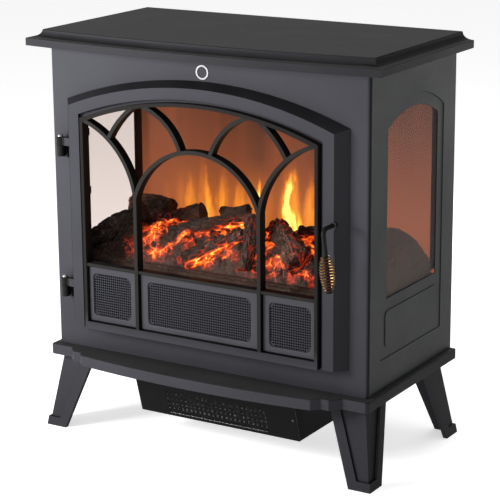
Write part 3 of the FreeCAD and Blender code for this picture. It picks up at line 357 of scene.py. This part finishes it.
def flame_screen_material():
    """Back screen: a copper-brown sheet in soft upright bands, with flames thrown on it."""
    m = Shader("flame_screen_lit", Roughness=0.7, Specular_IOR_Level=0.05)
    place = m.node("TexCoord").outputs["Object"]
    split = m.node("SeparateXYZ", {0: place})
    x, z = split.outputs[0], split.outputs[2]
    bands = m.noise(m.coordinates((1, 1, 0.06)), 21.0, 2.0)
    low_glow = m.spread(z, 0.455, 0.345, smooth=True)
    middle = m.math("MULTIPLY", m.spread(x, -0.26, -0.19, 0.25, 1.0, smooth=True),
                    m.spread(x, 0.24, 0.07, 0.35, 1.0, smooth=True))
    halo = m.math("MULTIPLY", m.math("MULTIPLY", low_glow, middle), m.spread(bands, 0.35, 0.65, 0.20, 0.36))
    level = m.math("ADD", flame_light(m, x, z), halo, clamp=True)
    height = m.spread(z, 0.30, 0.62)
    wall = m.ramp(m.math("MULTIPLY_ADD", m.math("SUBTRACT", bands, 0.5), 0.9, height), [
        (0.0, (0.40, 0.105, 0.038)), (0.40, (0.27, 0.076, 0.033)), (0.75, (0.125, 0.042, 0.022)),
        (1.0, (0.065, 0.024, 0.014))])
    fire = m.ramp(level, [(0.0, (0.34, 0.10, 0.03)), (0.30, (0.66, 0.17, 0.030)), (0.55, (0.92, 0.29, 0.03)),
                          (0.80, (1.0, 0.50, 0.05)), (1.0, (1.0, 0.80, 0.18))])
    m.set("Emission Color", m.mix(m.spread(level, 0.04, 0.36), wall, fire))
    m.set("Emission Strength", m.spread(level, 0.2, 1.0, 0.80, 1.45))
    m.set("Base Color", m.mix(m.spread(bands, 0.3, 0.7), (0.030, 0.012, 0.008), (0.050, 0.021, 0.013)))
    m.bump(m.noise(place, 300.0, 2.0), 0.15, 0.0004)
    return m.material


def fibre_board():
    m = Shader("board_green", Specular_IOR_Level=0.5, Roughness=0.35)
    place = m.coordinates()
    tracks = m.cells(place, 160.0, "DISTANCE_TO_EDGE", 0.0)
    m.set("Base Color", m.mix(m.spread(tracks, 0.04, 0.08), (0.05, 0.30, 0.10), (0.015, 0.12, 0.04)))
    m.bump(tracks, 0.2, 0.0003)
    return m.material


def ceramic_element():
    m = Shader("element_ceramic", Roughness=0.7)
    ribs = m.noise(m.coordinates((1, 0.1, 0.1)), 300.0, 2.0)
    m.set("Base Color", m.mix(m.spread(ribs, 0.35, 0.65), (0.45, 0.43, 0.40), (0.66, 0.64, 0.60)))
    m.bump(ribs, 0.4, 0.0005)
    return m.material


# Bluish painted sheen for the faces that look to the front; BLACK is the paint's own colour.
PAINTED_FRONT_SHEEN = (0.060, 0.060, 0.070)
BLACK = (0.008, 0.008, 0.0085)
# In each powder_paint call the first colour goes on the faces that look to the front, as a painted sheen
# where it is lighter than the second, which covers the other faces.
MATERIALS = {
    # the black paint's faces that look up are painted lighter, as painted light
    "black_metal": powder_paint("black_paint", PAINTED_FRONT_SHEEN, BLACK, 0.48, 0.05,
                                upward_painted_light=((0.030, 0.030, 0.030), 0.80, 0.98)),
    # the slab's paint: a bluish painted sheen on its front faces and a lighter colour on its flat top as a
    # painted reflection
    "top_metal": powder_paint("black_paint_top", (0.030, 0.030, 0.034), (0.006, 0.006, 0.006), 0.46, 0.06,
                              upward_painted_light=((0.038, 0.038, 0.038), 0.95, 0.99)),
    "side_metal": powder_paint("black_paint_sides", (0.021, 0.023, 0.022), (0.021, 0.023, 0.022),
                               0.50, 0.12),
    "hidden_steel": powder_paint("matt_black_sheet", (0.008, 0.008, 0.0085), (0.007, 0.007, 0.0075),
                                 0.60, 0.05),
    # the back panel's paint is lighter than black_paint on its other faces: painted light that keeps the
    # back's details visible
    "back_metal": powder_paint("black_paint_back", PAINTED_FRONT_SHEEN, (0.030, 0.030, 0.031), 0.48, 0.30),
    # the outlet's faces that look up are painted near white: a painted highlight on the lips of its holes
    "outlet_steel": powder_paint("outlet_sheet", (0.008, 0.008, 0.008), (0.006, 0.006, 0.006), 0.60, 0.05,
                                 upward_painted_light=((0.95, 0.95, 0.95), 0.10, 0.50)),
    # bluish painted sheen on the door casting's front faces, and painted shade on its raised inner rim
    "black_casting": powder_paint("black_casting", (0.050, 0.050, 0.059), BLACK, 0.48, 0.06, 1.8,
                                  rim=(0.012, 0.011, 0.010)),
    # the tracery's front faces are a warm brownish grey: a painted reflection of the fire
    "tracery": powder_paint("black_tracery", (0.017, 0.016, 0.014), (0.006, 0.006, 0.006), 0.52, 0.08, 1.8),
    "grille_metal": grille_paint(),
    "clear_glass": clear_glass("window_glass", (0.74, 0.65, 0.61), 0.04),
    "door_glass": clear_glass("door_glass", (0.97, 0.96, 0.95), 0.0),
    "clip_steel": powder_paint("glass_clip", (0.020, 0.016, 0.014), (0.014, 0.011, 0.010), 0.50, 0.15),
    "badge": powder_paint("badge_grey", (0.60, 0.60, 0.60), (0.35, 0.35, 0.35), 0.45, 0.3),
    "log_resin": charred_log(),
    "ember_resin": ember_material(),
    "screen": flame_screen_material(),
    "circuit_board": fibre_board(),
    "rotor_metal": bare_metal("rotor_foil", (0.80, 0.80, 0.80), 0.22),
    "motor": bare_metal("motor_case", (0.42, 0.42, 0.43), 0.42, (0.1, 1, 1)),
    "element": ceramic_element(),
    "black_plastic": moulded_plastic("black_plastic", (0.025, 0.025, 0.026), 0.48),
    "lamp": moulded_plastic("lamp_lens", (0.060, 0.030, 0.028), 0.40),
    "zinc": bare_metal("zinc_plate", (0.62, 0.60, 0.55), 0.32),
    "magnet": moulded_plastic("magnet_case", (0.09, 0.075, 0.06), 0.55),
    "handle_black": powder_paint("handle_black", (0.007, 0.007, 0.007), (0.006, 0.006, 0.006), 0.45, 0.14),
    "handle_brass": brass_wire(),
}

SPECIAL = {"left_side_panel": "side_metal", "right_side_panel": "side_metal", "top_slab": "top_metal",
           "back_panel": "back_metal", "door_tracery": "tracery", "door_glass": "door_glass",
           "outlet_grille": "outlet_steel", "hinge_brackets": "handle_black", "hinge_pins": "motor"}
SOFT_EDGES = {"door_frame": 0.0011, "door_tracery": 0.0013, "base_plinth": 0.0008, "top_slab": 0.0009,
              "left_side_panel": 0.0007, "right_side_panel": 0.0007, "front_panel": 0.0005,
              "front_left_foot": 0.0009, "front_right_foot": 0.0009, "rear_left_foot": 0.0009,
              "rear_right_foot": 0.0009, "heater_box": 0.0006, "hinge_brackets": 0.0006,
              "handle_rod": 0.0005, "control_panel": 0.0005, "thermostat_knob": 0.0006,
              "flame_rocker": 0.0006, "heat_rocker": 0.0006, "back_panel": 0.0004,
              "cord_gland": 0.0005, "badge_ring": 0.0003}


def dress_cad_nodes():
    """Every CAD node gets its slot's material and softened edges."""
    slots = {part["node"]: part["material_slot"] for part in frame["record"]["subparts"]}
    for name, node in frame["nodes"].items():
        node.data.materials.clear()
        node.data.materials.append(MATERIALS[SPECIAL.get(name, slots[name])])
        node.data.polygons.foreach_set("use_smooth", [True] * len(node.data.polygons))
        weld = node.modifiers.new("weld", "WELD")
        weld.merge_threshold = 0.00001
        if name in SOFT_EDGES:
            bevel = node.modifiers.new("edges", "BEVEL")
            bevel.width = SOFT_EDGES[name]
            bevel.segments = 2
            bevel.angle_limit = math.radians(35)
            bevel.use_clamp_overlap = True
            bevel.harden_normals = False
        normals = node.modifiers.new("normals", "WEIGHTED_NORMAL")
        normals.keep_sharp = True


# ---- mesh helpers ----------------------------------------------------------------------
def make_piece(name, points, faces, material, body, replaced=(), attributes=None):
    mesh = bpy.data.meshes.new(name)
    mesh.from_pydata(points, [], faces)
    mesh.validate()
    mesh.update()
    for key, values in (attributes or {}).items():
        layer = mesh.attributes.new(key, "FLOAT", "POINT")
        layer.data.foreach_set("value", values)
    mesh.materials.append(material)
    mesh.polygons.foreach_set("use_smooth", [True] * len(mesh.polygons))
    piece = bpy.data.objects.new(name, mesh)
    bpy.context.scene.collection.objects.link(piece)
    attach(piece, body)
    if replaced:
        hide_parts(*replaced)
    return piece


def swept_tube(path, radius, sides=12):
    """Points and faces of a round tube along a path, closed at both ends."""
    points, faces = [], []
    side = Vector((0, 1, 0))
    for index, centre in enumerate(path):
        ahead = path[min(index + 1, len(path) - 1)] - path[max(index - 1, 0)]
        ahead.normalize()
        side = (side - ahead * side.dot(ahead)).normalized()
        other = ahead.cross(side)
        for corner in range(sides):
            angle = 2 * math.pi * corner / sides
            points.append(centre + (side * math.cos(angle) + other * math.sin(angle)) * radius)
    for ring in range(len(path) - 1):
        for corner in range(sides):
            here = ring * sides + corner
            there = ring * sides + (corner + 1) % sides
            faces.append((here, there, there + sides, here + sides))
    faces.append(tuple(range(sides))[::-1])
    last = (len(path) - 1) * sides
    faces.append(tuple(range(last, last + sides)))
    return points, faces


# ---- handle coil -----------------------------------------------------------------------
CAMERA_SIDE = math.radians(-59)   # the side of the coil that faces the camera, from +X round towards +Y; the wire is painted dark there


def handle_coil():
    """Barrel-shaped spring of wire round the lever."""
    lean = math.radians(6.7)
    top = Vector((0.238, PANEL_Y - 0.050, 0.411))
    down = Vector((math.sin(lean), 0, -math.cos(lean)))
    side = down.cross(Vector((0, 1, 0))).normalized()
    start, length, turns = 0.0390, 0.0525, 12
    steps = turns * 26
    sides = 10
    path, painted_dark_reflection = [], []
    for step in range(steps + 1):
        share = step / steps
        bulge = 1 - (2 * share - 1) ** 2
        radius = 0.0054 + 0.0056 * bulge ** 0.8
        angle = 2 * math.pi * turns * share
        centre = top + down * (start + length * share)
        path.append(centre + side * radius * math.cos(angle) + Vector((0, 1, 0)) * radius * math.sin(angle))
        # painted dark reflection: share of dark copper, full on the side that faces the camera
        painted_dark_reflection += [smooth(0.25, 0.80, math.cos(angle - CAMERA_SIDE))] * sides
    points, faces = swept_tube(path, 0.00105, sides)
    make_piece("coil_wire", points, faces, MATERIALS["handle_brass"], "handle", ["handle_coil"],
               {"painted_dark_reflection": painted_dark_reflection})


# ---- grilles ---------------------------------------------------------------------------
GRILLE_FIELDS = {               # left and right edge of each perforated field
    "left_grille": (-0.201, -0.1285),
    "centre_grille": (-0.095, 0.095),
    "right_grille": (0.1285, 0.201),
}


def grille_panel(node):
    """Panel with a sunk field of small octagonal sleeves and a groove round its edge."""
    low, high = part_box(node)
    front = low.y
    pitch, hole, thickness = 0.0041, 0.00146, 0.0048
    left, right = GRILLE_FIELDS[node]
    field_low = Vector((left, 0, 0.2065))
    field_high = Vector((right, 0, 0.277))
    recess = front + 0.0020
    bm = bmesh.new()
    sink_frame(bm, low, high, field_low, field_high, front, recess)
    columns = round((right - left) / pitch)
    rows = round((field_high.z - field_low.z) / pitch)
    step_x = (right - left) / columns
    step_z = (field_high.z - field_low.z) / rows
    for column in range(columns):
        for row in range(rows):
            x0 = left + column * step_x
            z0 = field_low.z + row * step_z
            in_corner = min(column, columns - 1 - column) + min(row, rows - 1 - row) < 2
            perforated_cell(bm, x0, z0, step_x, step_z, recess, thickness, 0 if in_corner else hole)
    bmesh.ops.remove_doubles(bm, verts=bm.verts, dist=0.00002)
    bmesh.ops.recalc_face_normals(bm, faces=bm.faces)
    mesh = bpy.data.meshes.new(node + "_mesh")
    bm.to_mesh(mesh)
    bm.free()
    mesh.materials.append(MATERIALS["grille_metal"])
    piece = bpy.data.objects.new(node + "_panel", mesh)
    bpy.context.scene.collection.objects.link(piece)
    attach(piece, "door")
    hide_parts(node)


def rounded_loop(x0, x1, z0, z1, radius, steps, y):
    loop = []
    for cx, cz, start in ((x1 - radius, z1 - radius, 0), (x0 + radius, z1 - radius, 90),
                          (x0 + radius, z0 + radius, 180), (x1 - radius, z0 + radius, 270)):
        for step in range(steps + 1):
            angle = math.radians(start + 90 * step / steps)
            loop.append(Vector((cx + radius * math.cos(angle), y, cz + radius * math.sin(angle))))
    return loop


def sink_frame(bm, low, high, field_low, field_high, front, recess):
    """Flat border, a rolled edge down into the sunk field, and the panel's sides and back."""
    steps = 6
    back = high.y

    def frame_loop(inset, depth):
        return rounded_loop(low.x + inset, high.x - inset, low.z + inset, high.z - inset,
                            0.0008, steps, depth)

    def field_loop(grow, radius, depth):
        return rounded_loop(field_low.x - grow, field_high.x + grow, field_low.z - grow,
                            field_high.z + grow, radius, steps, depth)

    groove = front + 0.0026
    loops = [frame_loop(0, back), frame_loop(0, groove), frame_loop(0.0014, groove),
             frame_loop(0.0015, front + 0.0004), frame_loop(0.0019, front),
             field_loop(0.0012, 0.0088, front), field_loop(0.0003, 0.0080, front + 0.0004),
             field_loop(0, 0.0076, recess), field_loop(-0.0006, 0.0070, recess + 0.0001),
             field_loop(-0.0006, 0.0070, back)]
    rings = [[bm.verts.new(point) for point in loop] for loop in loops]
    for outer, inner in zip(rings, rings[1:]):
        for index in range(len(outer)):
            after = (index + 1) % len(outer)
            bm.faces.new((outer[index], outer[after], inner[after], inner[index]))


def perforated_cell(bm, x0, z0, step_x, step_z, y, thickness, radius):
    corners = [(x0, z0), (x0 + step_x, z0), (x0 + step_x, z0 + step_z), (x0, z0 + step_z)]
    if not radius:
        bm.faces.new([bm.verts.new((x, y, z)) for x, z in corners])
        return
    cx, cz = x0 + step_x / 2, z0 + step_z / 2
    outer, front, rear = [], [], []
    for index in range(8):
        angle = math.pi / 4 * index + math.pi / 8 - math.pi
        x, z = cx + radius * math.cos(angle), cz + radius * math.sin(angle)
        front.append(bm.verts.new((x, y, z)))
        rear.append(bm.verts.new((x, y + thickness, z)))
    for x, z in corners:
        outer.append(bm.verts.new((x, y, z)))
    for side in range(4):
        # each side of the cell meets two of the hole's corners, and each corner of the cell one edge
        a, b = outer[side], outer[(side + 1) % 4]
        first, second = front[(2 * side + 1) % 8], front[(2 * side + 2) % 8]
        bm.faces.new((a, b, second, first))
        bm.faces.new((a, first, front[(2 * side) % 8]))
    for index in range(8):
        after = (index + 1) % 8
        bm.faces.new((front[index], front[after], rear[after], rear[index]))


# ---- logs and embers ---------------------------------------------------------------------
LOGS = (                        # node replaced, seed, heat, then stations (x, y, z, radius)
    ("left_log", 3, 0.06, ((-0.262, 0.066, 0.300, 0.0215), (-0.186, 0.120, 0.346, 0.0245))),
    ("right_end_log", 8, 0.0, ((0.2445, 0.066, 0.338, 0.0345), (0.2445, 0.112, 0.343, 0.0350),
                                (0.2445, 0.160, 0.334, 0.0345), (0.2445, 0.204, 0.312, 0.0310),
                                (0.2445, 0.238, 0.288, 0.0260))),
    ("standing_log", 12, 0.75, ((0.048, 0.044, 0.300, 0.014), (0.040, 0.084, 0.378, 0.016))),
    ("right_log", 21, 0.95, ((0.144, 0.052, 0.320, 0.023), (0.060, 0.118, 0.353, 0.019))),
    ("upper_log", 34, 0.75, ((-0.225, 0.126, 0.320, 0.014), (-0.099, 0.152, 0.352, 0.0185))),
    ("middle_log", 45, 0.95, ((-0.118, 0.081, 0.327, 0.0165), (0.004, 0.135, 0.358, 0.011))),
    ("front_log", 57, 1.0, ((-0.064, 0.043, 0.299, 0.018), (0.024, 0.079, 0.341, 0.013))),
    ("back_logs", 61, 0.45, ((-0.264, 0.190, 0.341, 0.0185), (-0.184, 0.188, 0.341, 0.0175))),
    ("back_logs", 72, 0.7, ((-0.076, 0.176, 0.350, 0.012), (-0.026, 0.176, 0.361, 0.011))),
    ("back_logs", 83, 0.7, ((0.082, 0.152, 0.340, 0.015), (0.174, 0.186, 0.331, 0.017))),
)


def edge_gap(point):
    """How far a point is from the nearest wall between random cells, 0 on the wall."""
    distances, _ = noise.voronoi(point)
    return distances[1] - distances[0]


def smooth(low, high, value):
    share = min(max((value - low) / (high - low), 0.0), 1.0)
    return share * share * (3 - 2 * share)


def station_at(stations, share):
    """Centre, radius and heading a given share of the way along a log."""
    span = share * (len(stations) - 1)
    index = min(int(span), len(stations) - 2)
    part = span - index
    low, high = Vector(stations[index]), Vector(stations[index + 1])
    before = Vector(stations[max(index - 1, 0)])
    after = Vector(stations[min(index + 2, len(stations) - 1)])
    tangent_low = (high - before) / (2 if index else 1)
    tangent_high = (after - low) / (2 if index + 2 < len(stations) else 1)
    curve = (low * (2 * part ** 3 - 3 * part ** 2 + 1) + tangent_low * (part ** 3 - 2 * part ** 2 + part)
             + high * (3 * part ** 2 - 2 * part ** 3) + tangent_high * (part ** 3 - part ** 2))
    heading = (high - low).to_3d().normalized()
    return curve.to_3d() + Vector((0, PANEL_Y, 0)), curve[3], heading


def bark_point(log, share, angle, shrink, push):
    """One point of a log's skin with its glow and its pale grey, partly ash and partly painted highlight;
    shrink and push round off the ends.
    """
    stations, seed, warmth, length = log
    centre, girth, heading = station_at(stations, share)
    side = heading.cross(Vector((0, 0, 1))).normalized()
    lift = side.cross(heading)
    along = share * length
    x, y = math.cos(angle), math.sin(angle)
    spot = Vector((x * girth * 45 + seed, y * girth * 45, along * 22))
    big = noise.noise(spot * 0.6) * 0.20 + noise.noise(spot * 1.5) * 0.10
    plates = edge_gap(Vector((x * girth * 120, y * girth * 120, along * 55 + seed * 3)))
    crack = 1 - smooth(0.02, 0.24, plates)
    ridge = abs(noise.noise(Vector((x * 6.5, y * 6.5, along * 16 + seed)))) * 0.16
    fine = noise.noise(Vector((x * girth * 420, y * girth * 420, along * 190))) * 0.0007
    radius = girth * (0.94 + big + ridge) - crack * 0.0026 + fine
    bend = Vector((0, 0, math.sin(math.pi * share) * 0.003 * (1 if seed % 2 else -1)))
    outward = side * x + lift * y
    low_side = smooth(0.45, -0.65, outward.z)
    patch = smooth(-0.15, 0.30, noise.noise(spot * 0.45 + Vector((0, 9, 4))))
    heat = warmth * (crack * (0.35 + 0.65 * low_side) * (0.3 + 0.7 * patch) + 0.8 * low_side * patch)
    # pale grey away from the cracks on the upper side: partly ash, partly a painted highlight on the log
    # tops
    ash_and_highlight = (1 - crack) * smooth(-0.1, 0.9, outward.z) * (0.35 + 0.65 * patch)
    return centre + heading * push + bend + outward * radius * shrink, min(heat, 1.0), ash_and_highlight


def log_surface(stations, seed, warmth):
    """Closed mesh of one log, ring by ring, with the glow and the pale grey, partly ash and partly painted
    highlight, of every point.
    """
    length = (Vector(stations[-1]).to_3d() - Vector(stations[0]).to_3d()).length
    log = (stations, seed, warmth, length)
    rings, sides = max(int(length / 0.0013), 30), 110
    points, heats, ash_and_highlights = [], [], []

    def add(share, angle, shrink, push):
        point, heat, ash_and_highlight = bark_point(log, share, angle, shrink, push)
        points.append(point)
        heats.append(heat)
        ash_and_highlights.append(ash_and_highlight)

    for ring in range(rings + 1):
        wander = noise.noise(Vector((ring * 0.13, seed, 0))) * 0.0006
        for corner in range(sides):
            add(ring / rings, 2 * math.pi * corner / sides, 1.0, wander)
    faces = []
    for ring in range(rings):
        for corner in range(sides):
            here, there = ring * sides + corner, ring * sides + (corner + 1) % sides
            faces.append((here, there, there + sides, here + sides))
    for share, outwards in ((0.0, -1), (1.0, 1)):
        previous = 0 if outwards < 0 else rings * sides
        for level in range(1, 8):
            shrink = 1 - level / 8
            first = len(points)
            for corner in range(sides):
                angle = 2 * math.pi * corner / sides
                spot = Vector((math.cos(angle) * shrink * 6, math.sin(angle) * shrink * 6, seed))
                grain = noise.noise(spot)
                add(share, angle, shrink, outwards * (0.0022 * math.sqrt(1 - shrink) + grain * 0.0016))
            for corner in range(sides):
                here, there = previous + corner, previous + (corner + 1) % sides
                up, next_up = first + corner, first + (corner + 1) % sides
                faces.append((here, up, next_up, there) if outwards > 0 else (here, there, next_up, up))
            previous = first
        cap = tuple(range(previous, previous + sides))
        faces.append(cap if outwards > 0 else cap[::-1])
    return points, faces, heats, ash_and_highlights


def log_set():
    for number, (node, seed, warmth, stations) in enumerate(LOGS):
        points, faces, heats, ash_and_highlights = log_surface(stations, seed, warmth)
        make_piece("log_%02d_%s" % (number + 1, node), points, faces, MATERIALS["log_resin"], "cabinet",
                   [node], {"warmth": heats, "ash_and_highlight": ash_and_highlights})


BED_HALF = 0.276                # half width of the ember bed
BED_FRONT = 0.020               # its front and back edge, measured from the front panel
BED_BACK = 0.238
BED_STEP = 0.0017


def mound_height(x, y):
    """Height of the ember bed over the firebox floor; y is measured from the front panel."""
    left = smooth(-0.276, -0.165, x)
    right = smooth(0.278, 0.262, x)
    front = smooth(0.020, 0.075, y)
    back = smooth(0.240, 0.170, y)
    lip = 0.011 * smooth(0.019, 0.024, y) * smooth(0.2765, 0.272, abs(x))
    return max(lip, 0.056 * (0.30 + 0.70 * left) * right * front * back)


def coal_at(x, y):
    """Height of the coals at (x, y) and how strongly they glow there."""
    big, _ = noise.voronoi(Vector((x * 42, y * 42, 3.7)))
    small = edge_gap(Vector((x * 95, y * 95, 1.3)))
    base = mound_height(x, y)
    inside = smooth(0.011, 0.022, base)
    lump = (0.55 - big[0]) * 0.016 + min(small, 0.5) * 0.008
    wave = noise.noise(Vector((x * 14, y * 14, 0))) * 0.008
    edge = smooth(0, 0.01, min(BED_HALF - abs(x), y - BED_FRONT, BED_BACK - y))
    height = base * max(edge, 0.75) + (lump + wave) * inside
    gap = 1 - smooth(0.03, 0.40, small)
    lit = smooth(-0.215, -0.135, x) * smooth(0.232, 0.205, x) * smooth(0.030, 0.048, y)
    lit *= smooth(0.235, 0.19, y)
    patch = smooth(-0.45, 0.10, noise.noise(Vector((x * 16, y * 16, 8.0))))
    return FLOOR_TOP + 0.0003 + max(height, 0.0), lit * (0.45 + 0.55 * patch) * (0.80 + 0.20 * gap)


def ember_bed():
    """Coals heaped up between the logs: rounded lumps with glowing gaps, closed underneath."""
    columns = int(2 * BED_HALF / BED_STEP)
    rows = int((BED_BACK - BED_FRONT) / BED_STEP)
    points, heats = [], []
    for row in range(rows + 1):
        y = BED_FRONT + (BED_BACK - BED_FRONT) * row / rows
        for column in range(columns + 1):
            x = -BED_HALF + 2 * BED_HALF * column / columns
            z, heat = coal_at(x, y)
            points.append((x, y + PANEL_Y, z))
            heats.append(heat)
    across = columns + 1
    faces = []
    for row in range(rows):
        for column in range(columns):
            here = row * across + column
            faces.append((here, here + 1, here + across + 1, here + across))
    rim = ([column for column in range(across)]
           + [row * across + columns for row in range(1, rows + 1)]
           + [rows * across + column for column in range(columns - 1, -1, -1)]
           + [row * across for row in range(rows - 1, 0, -1)])
    foot = len(points)
    for index in rim:
        x, y, _ = points[index]
        points.append((x, y, FLOOR_TOP))
        heats.append(0.0)
    for index in range(len(rim)):
        after = (index + 1) % len(rim)
        faces.append((rim[index], foot + index, foot + after, rim[after]))
    faces.append(tuple(range(foot + len(rim) - 1, foot - 1, -1)))
    make_piece("ember_coals", points, faces, MATERIALS["ember_resin"], "cabinet", ["ember_bed"],
               {"warmth": heats})


# ---- studio ----------------------------------------------------------------------------
def studio():
    mesh = bpy.data.meshes.new("floor")
    mesh.from_pydata([(-40, -40, 0), (40, -40, 0), (40, 40, 0), (-40, 40, 0)], [], [(0, 1, 2, 3)])
    floor = bpy.data.objects.new("floor", mesh)
    bpy.context.scene.collection.objects.link(floor)
    pale = Shader("pale_floor", Roughness=0.75, Specular_IOR_Level=0.2)
    pale.surface.inputs["Emission Color"].default_value = (1, 1, 1, 1)
    pale.surface.inputs["Emission Strength"].default_value = 0.60
    fine = pale.noise(pale.coordinates(), 5.0, 4.0)
    pale.set("Base Color", pale.mix(fine, (0.84, 0.84, 0.84), (0.88, 0.88, 0.88)))
    mesh.materials.append(pale.material)

    world = bpy.data.worlds.new("studio")
    world.use_nodes = True
    bpy.context.scene.world = world
    sky = world.node_tree.nodes["Background"]
    sky.inputs["Color"].default_value = (0.99, 0.99, 1.0, 1.0)
    sky.inputs["Strength"].default_value = 0.36

    area_lamp("key", (-1.05, -1.30, 0.80), (-0.08, -0.12, 0.36), 0.55, 0.55, 34)
    area_lamp("top", (0.0, 0.0, 3.0), (0, 0, 0), 3.0, 3.0, 30)
    area_lamp("rear", (0.20, 1.80, 0.45), (0.0, 0.17, 0.36), 0.8, 0.6, 11)


def area_lamp(name, place, aim, width, height, power):
    data = bpy.data.lights.new(name, "AREA")
    data.shape = "RECTANGLE"
    data.size, data.size_y, data.energy = width, height, power
    lamp = bpy.data.objects.new(name, data)
    lamp.location = place
    lamp.visible_camera = False
    lamp.rotation_euler = (Vector(aim) - Vector(place)).to_track_quat("-Z", "Y").to_euler()
    bpy.context.scene.collection.objects.link(lamp)


def camera():
    data = bpy.data.cameras.new("camera")
    data.lens, data.sensor_width = 134.83, 36.0
    data.clip_start, data.clip_end = 0.1, 120.0
    azimuth, elevation, roll = (math.radians(v) for v in (31.28, 15.05, -0.42))
    ahead = Vector((-math.sin(azimuth) * math.cos(elevation), math.cos(azimuth) * math.cos(elevation),
                    -math.sin(elevation)))
    right = Vector((math.cos(azimuth), math.sin(azimuth), 0))
    up = right.cross(ahead)
    rolled_right = right * math.cos(roll) + up * math.sin(roll)
    rolled_up = up * math.cos(roll) - right * math.sin(roll)
    axes = Matrix((rolled_right, rolled_up, -ahead)).transposed()
    eye = bpy.data.objects.new("camera", data)
    eye.matrix_world = Matrix.Translation((1.5240, -2.3726 + PANEL_Y, 1.0948)) @ axes.to_4x4()
    bpy.context.scene.collection.objects.link(eye)
    bpy.context.scene.camera = eye


bpy.context.scene.view_settings.view_transform = "Standard"
dress_cad_nodes()
handle_coil()
for grille in ("left_grille", "centre_grille", "right_grille"):
    grille_panel(grille)
log_set()
ember_bed()
studio()
camera()
